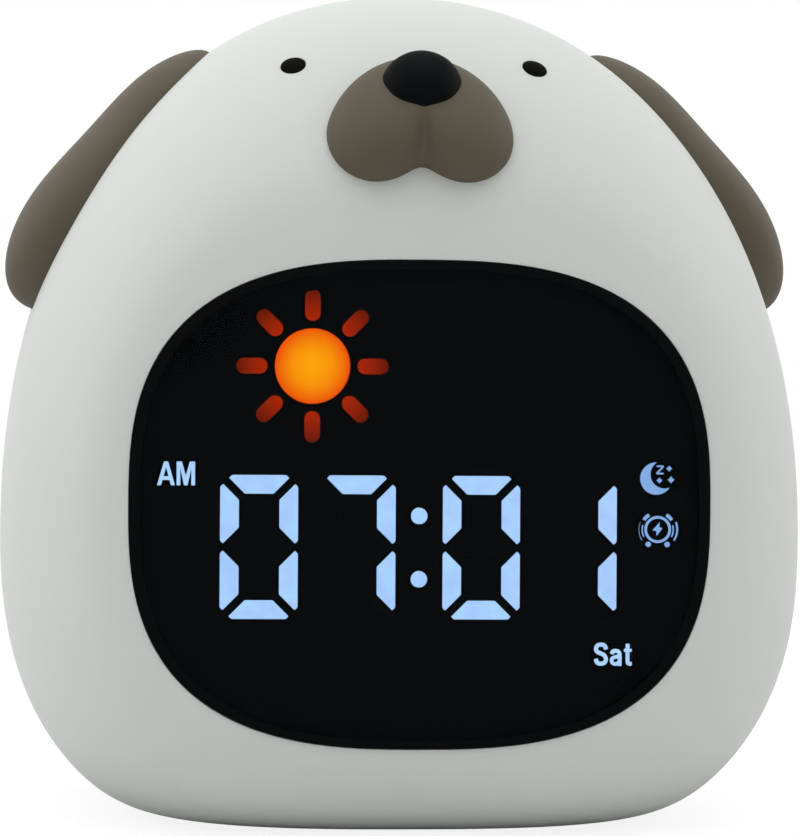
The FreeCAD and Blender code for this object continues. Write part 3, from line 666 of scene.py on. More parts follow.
def on_circle(radius: float, angles: list[float], across: float = 0.0, up: float = 0.0) -> Outline:
    """Return the points of a circle at some angles.

    Args:
        radius: Its radius.
        angles: The angles in radians.
        across: Its middle's place across.
        up: Its middle's place upwards.

    Returns:
        The points.
    """
    return [(across + radius * math.cos(turn), up + radius * math.sin(turn)) for turn in angles]


def prism(outline: Outline, low: float, high: float) -> bmesh.types.BMesh:
    """Return a closed prism over an outline.

    Args:
        outline: Its corners, anticlockwise.
        low: The height of its underside.
        high: The height of its top.

    Returns:
        The bmesh.
    """
    shape = bmesh.new()
    under = [shape.verts.new((x, y, low)) for x, y in outline]
    over = [shape.verts.new((x, y, high)) for x, y in outline]
    shape.faces.new(list(reversed(under)))
    shape.faces.new(over)
    count = len(outline)
    for k in range(count):
        after = (k + 1) % count
        shape.faces.new([under[k], under[after], over[after], over[k]])
    return shape


def smooth_loop(points: Outline, count: int) -> Outline:
    """Return even points on the closed uniform cubic curve through points.

    Args:
        points: The points that it passes through, at equal steps.
        count: How many points to return.

    Returns:
        The points on the curve.
    """
    given = [Vector((x, y)) for x, y in points]
    total = len(given)
    poles = list(given)
    for _ in range(SPLINE_PASSES):
        poles = [(given[i] * 6 - poles[i - 1] - poles[(i + 1) % total]) * 0.25 for i in range(total)]
    found = []
    for k in range(count):
        place = total * k / count
        i, t = int(place), place % 1.0
        weights = (
            (1 - t) ** 3 / 6,
            (3 * t**3 - 6 * t**2 + 4) / 6,
            (-3 * t**3 + 3 * t**2 + 3 * t + 1) / 6,
            t**3 / 6,
        )
        spot = Vector((0.0, 0.0))
        for weight, step in zip(weights, (-1, 0, 1, 2)):
            spot += poles[(i + step) % total] * weight
        found.append((spot.x, spot.y))
    return found


@dataclass
class BodyForm:
    """The gumdrop that the skin, its face and its ears follow, with a flattened front and back."""

    half_width: float = 59.5 * MM
    top: float = 122.8 * MM
    waist: float = 41.7 * MM
    base_half_width: float = 40.2 * MM
    front_reach: float = 49.0 * MM
    rear_reach: float = 49.2 * MM
    upper_exponent: float = 2.13
    lower_exponent: float = 2.44
    waist_plan: float = 3.3
    crown_plan: float = 2.1
    front_depth: float = 41.4 * MM
    rear_depth: float = 41.73 * MM
    lens_height: float = 48.7 * MM
    tilt: float = math.radians(2.75)
    softness: float = 1.3 * MM

    @property
    def crown_rise(self) -> float:
        """Return the height of the crown over the waist."""
        return self.top - self.waist

    @property
    def lower_drop(self) -> float:
        """Return how far under the waist the lower half would close."""
        share = (self.base_half_width / self.half_width) ** self.lower_exponent
        return self.waist / (1 - share) ** (1 / self.lower_exponent)

    def bottom_angle(self, height: float) -> float:
        """Return the angle up the side of the ring at a height under the waist."""
        share = (self.waist - height) / self.lower_drop
        return -math.asin(share ** (self.lower_exponent / 2))

    def soft_limit(self, value: float, limit: float) -> float:
        """Return the smaller of two values, with a rounded corner between them."""
        excess = (value - limit) / self.softness
        if excess > SOFT_CUTOFF:
            return limit
        return value - self.softness * math.log1p(math.exp(excess))

    def point(self, theta: float, psi: float) -> Vector:
        """Return a point of the surface.

        Args:
            theta: The angle round the body from the right.
            psi: The angle up the side, from the waist to a right angle at the crown.

        Returns:
            The point.
        """
        if psi >= 0:
            power = 2 / self.upper_exponent
            height = self.waist + self.crown_rise * math.sin(psi) ** power
            scale = max(math.cos(psi), 1e-9) ** power
        else:
            power = 2 / self.lower_exponent
            height = self.waist - self.lower_drop * math.sin(-psi) ** power
            scale = math.cos(psi) ** power
        across, along = math.cos(theta), math.sin(theta)
        reach = (self.front_reach if along < 0 else self.rear_reach) * scale
        plan = self.crown_plan + (self.waist_plan - self.crown_plan) * scale
        sides = (abs(across) / (self.half_width * scale)) ** plan + (abs(along) / reach) ** plan
        radius = sides ** (-1 / plan)
        x, y = radius * across, radius * along
        if y < 0:
            slope = (height - self.lens_height) * math.tan(self.tilt)
            y = -self.soft_limit(-y, self.front_depth - slope)
        else:
            y = self.soft_limit(y, self.rear_depth)
        return Vector((x, y, height))

    def normal(self, theta: float, psi: float) -> Vector:
        """Return the outward normal at a point of the surface."""
        step = 1e-4
        along = self.point(theta + step, psi) - self.point(theta - step, psi)
        up = self.point(theta, psi + step) - self.point(theta, psi - step)
        return along.cross(up).normalized()

    def near(self, theta: float, psi: float, across: float, up: float, height: float) -> Vector:
        """Return a point measured over the surface from a place on it.

        Args:
            theta: The place's angle round the body.
            psi: The place's angle up the side.
            across: The distance round the body.
            up: The distance up the side.
            height: The distance out of the surface.

        Returns:
            The point.
        """
        step = 0.01
        climb = (self.point(theta, psi + step) - self.point(theta, psi - step)).length / (2 * step)
        raised = psi + up / climb
        here = self.point(theta, raised)
        turned = theta + across / math.hypot(here.x, here.y)
        return self.point(turned, raised) + self.normal(turned, raised) * height

    def on_front(self, x: float, y: float, z: float) -> Vector:
        """Return a place of the lens's own plane, with z out of its face, in the clock's frame."""
        turn = Matrix.Rotation(math.pi / 2 - self.tilt, 3, "X")
        return turn @ Vector((x, y, z)) + Vector((0, -self.front_depth, self.lens_height))

    def front_matrix(self) -> Matrix:
        """Return the matrix from the lens's own plane to the clock's frame."""
        place = Matrix.Translation((0, -self.front_depth, self.lens_height))
        return place @ Matrix.Rotation(math.pi / 2 - self.tilt, 4, "X")


@dataclass
class NodeTreeMaker:
    """One Geometry Nodes tree with named inputs, which an object carries until it is made a mesh."""

    name: str
    inputs: dict[str, float]
    graph: Graph = field(init=False)
    start: Wire = field(init=False)
    _tree: bpy.types.NodeTree = field(init=False)

    def __post_init__(self) -> None:
        """Make the tree, its sockets and its input node."""
        self._tree = bpy.data.node_groups.new(self.name, "GeometryNodeTree")
        sockets = self._tree.interface
        sockets.new_socket("Geometry", in_out="OUTPUT", socket_type="NodeSocketGeometry")
        for name in self.inputs:
            sockets.new_socket(name, in_out="INPUT", socket_type="NodeSocketFloat")
        self.graph = Graph(self._tree)
        self.start = self.graph.node("NodeGroupInput")

    def size(self, name: str) -> Wire:
        """Return one of the named inputs."""
        return self.start.part(name)

    def make(self, geometry: Wire, material: bpy.types.Material) -> bpy.types.Object:
        """End the tree, run it once and keep the plain mesh.

        Args:
            geometry: The last geometry.
            material: The material that it takes.

        Returns:
            A linked object whose mesh is the tree's result.
        """
        real = self.graph.node("GeometryNodeRealizeInstances", {}, {"Geometry": geometry})
        painted = self.graph.node("GeometryNodeSetMaterial", {}, {"Geometry": real, "Material": material})
        out = self._tree.nodes.new("NodeGroupOutput")
        self._tree.links.new(painted.socket, out.inputs["Geometry"])
        piece = bpy.data.objects.new(self.name, bpy.data.meshes.new(self.name))
        bpy.context.scene.collection.objects.link(piece)
        nodes = piece.modifiers.new(self.name, "NODES")
        nodes.node_group = self._tree
        for item in self._tree.interface.items_tree:
            if item.item_type == "SOCKET" and item.in_out == "INPUT":
                nodes[item.identifier] = self.inputs[item.name]
        baked(piece)
        bpy.data.node_groups.remove(self._tree)
        return piece


@dataclass
class Skin:
    """The white silicone skin, with its rounded foot and its openings."""

    form: BodyForm
    wall: float = 2.0 * MM
    lowest_ring: float = -5.0 * MM
    floor_level: float = -0.5 * MM
    floor_blend: float = 2.6 * MM
    around: int = 256
    upwards: int = 150
    lens_half_width: float = 41.8 * MM
    lens_half_height: float = 35.0 * MM
    lens_exponent: float = 2.75
    lens_gap: float = 0.12 * MM
    panel_half_width: float = 33.25 * MM
    panel_half_height: float = 27.25 * MM
    panel_height: float = 46.0 * MM
    panel_exponent: float = 5.0
    base_half_across: float = 34.3 * MM
    base_half_deep: float = 28.3 * MM
    base_exponent: float = 2.6
    eye_radius: float = 1.9 * MM
    eye_across: float = 17.8 * MM
    eye_angle: float = math.radians(58.8)
    eye_depth: float = 1.1 * MM
    eye_clearance: float = 3.0 * MM
    sharp_angle: float = 28.0
    lens_steps: int = 320
    panel_steps: int = 240
    base_steps: int = 160
    eye_steps: int = 48
    base_reach: float = 2.0 * MM

    def build(self) -> bpy.types.Object:
        """Build the skin as one walled shell.

        Returns:
            The skin's object.
        """
        skin = self._surface()
        shell = skin.modifiers.new("wall", "SOLIDIFY")
        shell.thickness = self.wall
        shell.offset = -1.0
        shell.use_even_offset = True
        baked(skin)
        cut_away(skin, *self._tools())
        return smooth(skin, self.sharp_angle)

    def _surface(self) -> bpy.types.Object:
        """Build the closed outer surface with a node tree that follows the body's formula.

        Returns:
            An object with the outer surface, closed at the crown and the bottom.
        """
        form = self.form
        names = {
            "Half Width": form.half_width,
            "Front Reach": form.front_reach,
            "Rear Reach": form.rear_reach,
            "Waist": form.waist,
            "Crown Rise": form.crown_rise,
            "Lower Drop": form.lower_drop,
            "Front Depth": form.front_depth,
            "Rear Depth": form.rear_depth,
            "Softness": form.softness,
            "Floor Level": self.floor_level,
            "Floor Blend": self.floor_blend,
        }
        maker = NodeTreeMaker("silicone_skin_form", names)
        graph = maker.graph
        lowest = form.bottom_angle(self.lowest_ring)
        climb = math.pi / 2 - lowest
        sheet, place = graph.sheet(self.around + 1, self.upwards)
        theta = (place.part("X") + 0.5) * (2 * math.pi)
        psi = (place.part("Y") + 0.5) * climb + lowest
        upper = psi > 0.0
        power = upper * (2 / form.upper_exponent - 2 / form.lower_exponent) + 2 / form.lower_exponent
        rise = abs(psi.sine()) ** power
        height = maker.size("Waist") + rise * (
            upper * (maker.size("Crown Rise") + maker.size("Lower Drop")) - maker.size("Lower Drop")
        )
        lift = ((height - maker.size("Floor Level")) / maker.size("Floor Blend")).at_most(2 * SOFT_CUTOFF)
        rounded = (lift.exponent() + 1.0).natural_log() * maker.size("Floor Blend")
        rounded = rounded + maker.size("Floor Level")
        scale = psi.cosine().at_least(1e-5) ** power
        across, along = theta.cosine(), theta.sine()
        behind = along > 0.0
        reach = maker.size("Front Reach") + behind * (maker.size("Rear Reach") - maker.size("Front Reach"))
        plan = scale * (form.waist_plan - form.crown_plan) + form.crown_plan
        sides = (abs(across) / (maker.size("Half Width") * scale)) ** plan
        sides = sides + (abs(along) / (reach * scale)) ** plan
        radius = sides ** (-1.0 / plan)
        away = abs(radius * along)
        slope = (height - form.lens_height) * math.tan(form.tilt)
        front_limit = maker.size("Front Depth") - slope
        limit = front_limit + behind * (maker.size("Rear Depth") - front_limit)
        excess = ((away - limit) / maker.size("Softness")).at_most(SOFT_CUTOFF)
        soft = maker.size("Softness") * (excess.exponent() + 1.0).natural_log()
        depth = (away - soft).at_most(1.0) * (behind * 2.0 - 1.0)
        closed = graph.bent(sheet, graph.joined(radius * across, depth, rounded))
        skin = maker.make(closed, Paint.SKIN.value.material())
        skin.name = "skin"
        return sealed(skin, slivers=True)

    def _tools(self) -> list[bpy.types.Object]:
        """Build the tools that cut the openings of the display, the panel, the base and the eyes."""
        wide, high = self.lens_half_width + self.lens_gap, self.lens_half_height + self.lens_gap
        lens = superellipse(wide, high, self.lens_exponent, self.lens_steps)
        wide, high = self.panel_half_width, self.panel_half_height
        panel = superellipse(wide, high, self.panel_exponent, self.panel_steps)
        behind = Matrix.Translation((0, self.form.rear_depth, self.panel_height))
        behind = behind @ Matrix.Rotation(math.pi / 2, 4, "X")
        wide, deep = self.base_half_across, self.base_half_deep
        base = superellipse(wide, deep, self.base_exponent, self.base_steps)
        tools = []
        for outline, low, place in (
            (lens, -TOOL_REACH, self.form.front_matrix()),
            (panel, -TOOL_REACH, behind),
            (base, -self.base_reach, Matrix.Identity(4)),
        ):
            shape = prism(outline, low, TOOL_REACH)
            shape.transform(place)
            tools.append(add_mesh("opening_tool", shape))
        return tools + [self._eye_tool(side) for side in (-1, 1)]

    def eye_place(self, side: int) -> tuple[Vector, Vector]:
        """Return the middle of an eye on the surface and the outward direction there.

        Args:
            side: -1 for the left eye and 1 for the right.

        Returns:
            The place and the direction.
        """
        theta = -math.pi / 2
        for _ in range(20):
            here = self.form.point(theta, self.eye_angle)
            theta += (side * self.eye_across - here.x) / here.length
        return self.form.point(theta, self.eye_angle), self.form.normal(theta, self.eye_angle)

    def _eye_tool(self, side: int) -> bpy.types.Object:
        """Build the tool that cuts an eye's socket."""
        middle, out = self.eye_place(side)
        outline = superellipse(self.eye_radius, self.eye_radius, 2.0, self.eye_steps)
        shape = prism(outline, -self.eye_depth, self.eye_clearance)
        turn = out.to_track_quat("Z", "Y").to_matrix().to_4x4()
        shape.transform(Matrix.Translation(middle) @ turn)
        return add_mesh("eye_tool", shape)


@dataclass
class WrappedDome:
    """A domed pad that wraps on the body and swells from a closed outline."""

    form: BodyForm
    name: str
    theta: float
    psi: float
    outline: Outline
    base: float
    fullness: float
    paint: Paint
    around: int = 160
    rings: int = 40
    even_points: int = 48
    under_rings: tuple[float, ...] = (0.75, 0.5, 0.25)
    sharp_angle: float = 50.0

    def rise(self, across: float, up: float) -> float:
        """Return the pad's height over the body at a place of its outline, in metres."""
        raise NotImplementedError

    def build(self) -> bpy.types.Object:
        """Build the pad as one closed mesh, open nowhere.

        Returns:
            The pad's object.
        """
        left = [(-x, y) for x, y in reversed(self.outline) if x > 0]
        loop = smooth_loop(smooth_loop(self.outline + left, self.even_points), self.around)
        middle = sum(y for _, y in loop) / len(loop)
        shape = bmesh.new()

        def ring(scale: float, lift: float) -> list[bmesh.types.BMVert]:
            """Add one ring of the pad."""
            made = []
            for x, y in loop:
                across, up = x * scale, middle + (y - middle) * scale
                height = self.base + lift * (self.rise(across, up) - self.base)
                made.append(shape.verts.new(self.form.near(self.theta, self.psi, across, up, height)))
            return made

        steps = [math.pi / 2 * (k / self.rings) for k in range(self.rings)]
        rings = [
            ring(math.cos(t) ** (2 / self.fullness), math.sin(t) ** (2 / self.fullness)) for t in steps
        ]
        for below, above in zip(rings, rings[1:]):
            self._join(shape, below, above)
        height = self.rise(0.0, middle)
        crown = shape.verts.new(self.form.near(self.theta, self.psi, 0.0, middle, height))
        last = rings[-1]
        for k in range(self.around):
            shape.faces.new([last[k], last[(k + 1) % self.around], crown])
        inner = rings[0]
        for scale in self.under_rings:
            lower = ring(scale, 0.0)
            self._join(shape, lower, inner)
            inner = lower
        foot = shape.verts.new(self.form.near(self.theta, self.psi, 0.0, middle, self.base))
        for k in range(self.around):
            shape.faces.new([inner[(k + 1) % self.around], inner[k], foot])
        bmesh.ops.recalc_face_normals(shape, faces=shape.faces)
        piece = add_mesh(self.name, shape, self.paint.value.material())
        return smooth(piece, self.sharp_angle)

    def _join(self, shape: bmesh.types.BMesh, below: list, above: list) -> None:
        """Span two rings with faces.

        Args:
            shape: The bmesh.
            below: The lower ring.
            above: The upper ring.
        """
        for k in range(self.around):
            after = (k + 1) % self.around
            shape.faces.new([below[k], below[after], above[after], above[k]])


@dataclass
class Muzzle(WrappedDome):
    """The two-lobed muzzle under the nose."""

    height: float = 7.0 * MM
    groove: float = 1.0 * MM
    groove_width: float = 1.1 * MM
    groove_start: float = -1.8 * MM
    groove_run: float = 4.0 * MM

    def rise(self, across: float, up: float) -> float:
        """Return the pad's height, lower along the crease under the nose."""
        fall = min(1.0, max(0.0, (self.groove_start - up) / self.groove_run))
        return self.height - self.groove * math.exp(-((across / self.groove_width) ** 2)) * fall


@dataclass
class Nose(WrappedDome):
    """The nose's rounded triangle."""

    height: float = 9.6 * MM

    def rise(self, across: float, up: float) -> float:
        """Return the pad's height."""
        return self.height


@dataclass
class Ear(WrappedDome):
    """One flap ear that hugs the side of the body and thins towards its top."""

    height: float = 9.0 * MM
    taper: float = 0.62
    tip: float = 23.2 * MM
    foot: float = -24.0 * MM
    hollow: float = 1.55 * MM
    hollow_middle: float = 1.5 * MM
    hollow_reach: float = 11.5 * MM

    def rise(self, across: float, up: float) -> float:
        """Return the pad's height, which falls towards the top and is pressed in at its middle."""
        slope = 1 - self.taper * (up - self.foot) / (self.tip - self.foot)
        press = math.exp(-(((up - self.hollow_middle) / self.hollow_reach) ** 2))
        return self.height * slope - self.hollow * press


def millimetres(points: Outline) -> Outline:
    """Return points given in millimetres as metres."""
    return [(x * MM, y * MM) for x, y in points]


@dataclass
class Face:
    """The muzzle, nose and ears, each wrapped on the body."""

    form: BodyForm
    muzzle_angle: float = math.radians(49.2)
    ear_angle: float = math.radians(43.0)
    sunk: float = -1.6 * MM

    def build(self) -> dict[str, bpy.types.Object]:
        """Build the four pieces.

        Returns:
            The pieces by the node that each stands for.
        """
        front = -math.pi / 2
        cheeks = [(0, 10.2), (3.8, 9.6), (7.1, 7.9), (9.9, 5.1), (12.0, 1.5), (13.1, -2.3)]
        cheeks += [(12.7, -6.0), (10.6, -9.0), (7.0, -10.4), (3.1, -9.6), (0, -8.2)]
        tip = [(0, 7.0), (2.9, 6.3), (5.0, 4.6), (5.9, 2.2), (5.4, -0.1), (3.7, -2.1), (0, -3.1)]
        muzzle = Muzzle(
            form=self.form,
            name="muzzle_pad",
            theta=front,
            psi=self.muzzle_angle,
            outline=millimetres(cheeks),
            base=self.sunk,
            fullness=2.3,
            paint=Paint.BROWN,
        )
        nose = Nose(
            form=self.form,
            name="nose_pad",
            theta=front,
            psi=self.muzzle_angle,
            outline=millimetres(tip),
            base=3.0 * MM,
            fullness=2.4,
            paint=Paint.NOSE,
        )
        made = {"muzzle": muzzle.build(), "nose": nose.build()}
        flap = [(0, 24.0), (8.8, 19.0), (13.6, 8), (15.8, -5), (12.4, -17), (0, -24)]
        for node, name, theta in (
            ("ear_right", "ear_pad_right", 0.0),
            ("ear_left", "ear_pad_left", math.pi),
        ):
            ear = Ear(
                form=self.form,
                name=name,
                theta=theta,
                psi=self.ear_angle,
                outline=millimetres(flap),
                base=self.sunk,
                fullness=2.9,
                paint=Paint.BROWN,
            )
            made[node] = ear.build()
        return made


def glyph(name: str, text: str, size: float, depth: float) -> bpy.types.Object:
    """Turn a short generic word into a thin solid mesh in the XY plane, centred on the origin.

    Args:
        name: The object's name.
        text: The word.
        size: The letters' height in metres.
        depth: The solid's thickness.

    Returns:
        The object.
    """
    curve = bpy.data.curves.new(name, "FONT")
    curve.body = text
    curve.size = size / CAPITAL_SHARE
    curve.align_x = "CENTER"
    curve.align_y = "CENTER"
    curve.extrude = depth / 2
    curve.offset = size * BOLDNESS
    curve.resolution_u = 6
    made = bpy.data.objects.new(name, curve)
    bpy.context.scene.collection.objects.link(made)
    bpy.context.view_layer.update()
    mesh = bpy.data.meshes.new_from_object(made.evaluated_get(bpy.context.evaluated_depsgraph_get()))
    bpy.data.objects.remove(made)
    xs = [v.co.x for v in mesh.vertices]
    ys = [v.co.y for v in mesh.vertices]
    middle = Vector(((min(xs) + max(xs)) / 2, (min(ys) + max(ys)) / 2, 0))
    mesh.transform(Matrix.Translation(-middle))
    piece = bpy.data.objects.new(name, mesh)
    bpy.context.scene.collection.objects.link(piece)
    return piece


@dataclass
class FlatDrawing:
    """A flat drawing of strokes, discs and arcs, given a thickness and set on a plane."""

    depth: float = 0.05 * MM
    star_waist: float = 0.55
    arc_step: float = 8.0
    shape: bmesh.types.BMesh = field(default_factory=bmesh.new)

    def outline(self, points: Outline) -> None:
        """Add a filled outline.

        Args:
            points: Its corners, anticlockwise, in metres.
        """
        part = prism(points, -self.depth / 2, self.depth / 2)
        mesh = bpy.data.meshes.new("stroke")
        part.to_mesh(mesh)
        part.free()
        self.shape.from_mesh(mesh)
        bpy.data.meshes.remove(mesh)

    def disc(self, x: float, y: float, radius: float, count: int = 40) -> None:
        """Add a filled disc."""
        self.outline([(x + px, y + py) for px, py in superellipse(radius, radius, 2.0, count)])

    def star(self, x: float, y: float, reach: float) -> None:
        """Add a small star with four points."""
        turns_round = [math.pi / 4 * k for k in range(8)]
        sizes = (reach, reach * self.star_waist) * 4
        self.outline([(x + r * math.cos(t), y + r * math.sin(t)) for r, t in zip(sizes, turns_round)])

    def band(self, path: Outline, width: float) -> None:
        """Add a stroke along an open path, as one strip.

        Args:
            path: The stroke's middle line.
            width: Its width.
        """
        left, right = [], []
        for k, (x, y) in enumerate(path):
            before, after = path[max(k - 1, 0)], path[min(k + 1, len(path) - 1)]
            run = Vector((after[0] - before[0], after[1] - before[1])).normalized()
            side = Vector((-run.y, run.x)) * width / 2
            left.append((x + side.x, y + side.y))
            right.append((x - side.x, y - side.y))
        self.outline(right + left[::-1])

    def arc(self, x: float, y: float, radius: float, start: float, end: float, width: float) -> None:
        """Add a stroke along an arc, between two angles in degrees."""
        count = max(4, int(abs(end - start) / self.arc_step))
        self.band(on_circle(radius, turns(start, end, count + 1), x, y), width)

    def ring(self, x: float, y: float, radius: float, width: float, count: int = 48) -> None:
        """Add a closed ring."""
        inner, outer = radius - width / 2, radius + width / 2
        rows = []
        for size, height in ((inner, -1), (outer, -1), (outer, 1), (inner, 1)):
            loop = superellipse(size, size, 2.0, count)
            rows.append([self.shape.verts.new((x + px, y + py, height * self.depth / 2)) for px, py in loop])
        for k in range(count):
            after = (k + 1) % count
            for j in range(4):
                low, high = rows[j], rows[(j + 1) % 4]
                self.shape.faces.new([low[k], low[after], high[after], high[k]])

    def finished(self, name: str, place: Matrix, material: bpy.types.Material) -> bpy.types.Object:
        """Set the drawing on its plane.

        Args:
            name: The piece's name.
            place: The matrix from the drawing's plane to the clock's frame.
            material: Its material.

        Returns:
            The piece's object.
        """
        bmesh.ops.recalc_face_normals(self.shape, faces=self.shape.faces)
        self.shape.transform(place)
        return add_mesh(name, self.shape, material)


def curve_through(points: Outline, steps: int = 6) -> Outline:
    """Return points on a smooth open curve.

    Args:
        points: The points that it passes through.
        steps: How many points replace each given one.

    Returns:
        The points on the curve, with both of its ends.
    """
    given = [Vector(point) for point in points]
    given = [given[0] * 2 - given[1]] + given + [given[-1] * 2 - given[-2]]
    found = []
    for before, start, end, after in zip(given, given[1:], given[2:], given[3:]):
        for k in range(steps):
            t = k / steps
            spot = (
                start * 2
                + (end - before) * t
                + (before * 2 - start * 5 + end * 4 - after) * t**2
                + (start * 3 - before - end * 3 + after) * t**3
            )
            found.append((spot.x / 2, spot.y / 2))
    return found + [tuple(given[-2])]


@dataclass
class Lettering:
    """Short lit words in a narrow bold hand, drawn on a capital's height of one."""

    height: float
    depth: float
    gap: float = 0.07
    stroke: float = 0.175

    def word(self, name: str, text: str, place: Matrix, material: bpy.types.Material) -> bpy.types.Object:
        """Draw one word, centred on a place.

        Args:
            name: The piece's name.
            text: The word.
            place: The matrix from the word's plane to the clock's frame.
            material: Its material.

        Returns:
            The piece's object.
        """
        total = sum(LETTER_WIDTHS[letter] for letter in text) + self.gap * (len(text) - 1)
        drawing = FlatDrawing(self.depth / self.height)
        at = -total / 2
        for letter in text:
            self._letter(drawing, letter, at)
            at += LETTER_WIDTHS[letter] + self.gap
        middle = Matrix.Translation((0, -0.5, 0))
        return drawing.finished(name, place @ Matrix.Scale(self.height, 4) @ middle, material)

    def _letter(self, drawing: FlatDrawing, letter: str, at: float) -> None:
        """Draw one letter.

        Args:
            drawing: The drawing.
            letter: Which letter.
            at: How far along its left side is.
        """

        def moved(points: Outline) -> Outline:
            """Return points moved along to the letter's place."""
            return [(x + at, y) for x, y in points]

        if letter == "A":
            legs = [(0, 0), (0.165, 0), (0.375, 0.76), (0.585, 0), (0.75, 0), (0.46, 1), (0.29, 1)]
            drawing.outline(moved(legs))
            drawing.band(moved([(0.13, 0.3), (0.62, 0.3)]), 0.16)
        elif letter == "M":
            half = [(0, 0), (0.155, 0), (0.155, 0.7), (0.315, 0)]
            back = [(0.775 - x, y) for x, y in reversed(half)]
            drawing.outline(moved(half + back + [(0.775, 1), (0.555, 1), (0.3875, 0.4), (0.22, 1), (0, 1)]))
        elif letter == "S":
            path = [(0.53, 0.7), (0.47, 0.85), (0.32, 0.905), (0.16, 0.86), (0.095, 0.72), (0.16, 0.59)]
            path += [(0.31, 0.525), (0.46, 0.44), (0.525, 0.28), (0.46, 0.14), (0.31, 0.09)]
            path += [(0.15, 0.14), (0.09, 0.3)]
            drawing.band(moved(curve_through(path)), self.stroke)
        elif letter == "a":
            path = [(0.08, 0.5), (0.13, 0.61), (0.25, 0.64), (0.37, 0.6), (0.42, 0.47), (0.42, 0.0)]
            drawing.band(moved(curve_through(path)), 0.165)
            path = [(0.42, 0.4), (0.25, 0.38), (0.1, 0.31), (0.09, 0.17), (0.2, 0.08), (0.33, 0.11)]
            path += [(0.42, 0.2)]
            drawing.band(moved(curve_through(path)), 0.155)
        else:
            path = [(0.16, 0.94), (0.16, 0.6), (0.16, 0.22), (0.2, 0.11), (0.34, 0.08)]
            drawing.band(moved(curve_through(path)), 0.17)
            drawing.band(moved([(0.0, 0.66), (0.34, 0.66)]), 0.13)


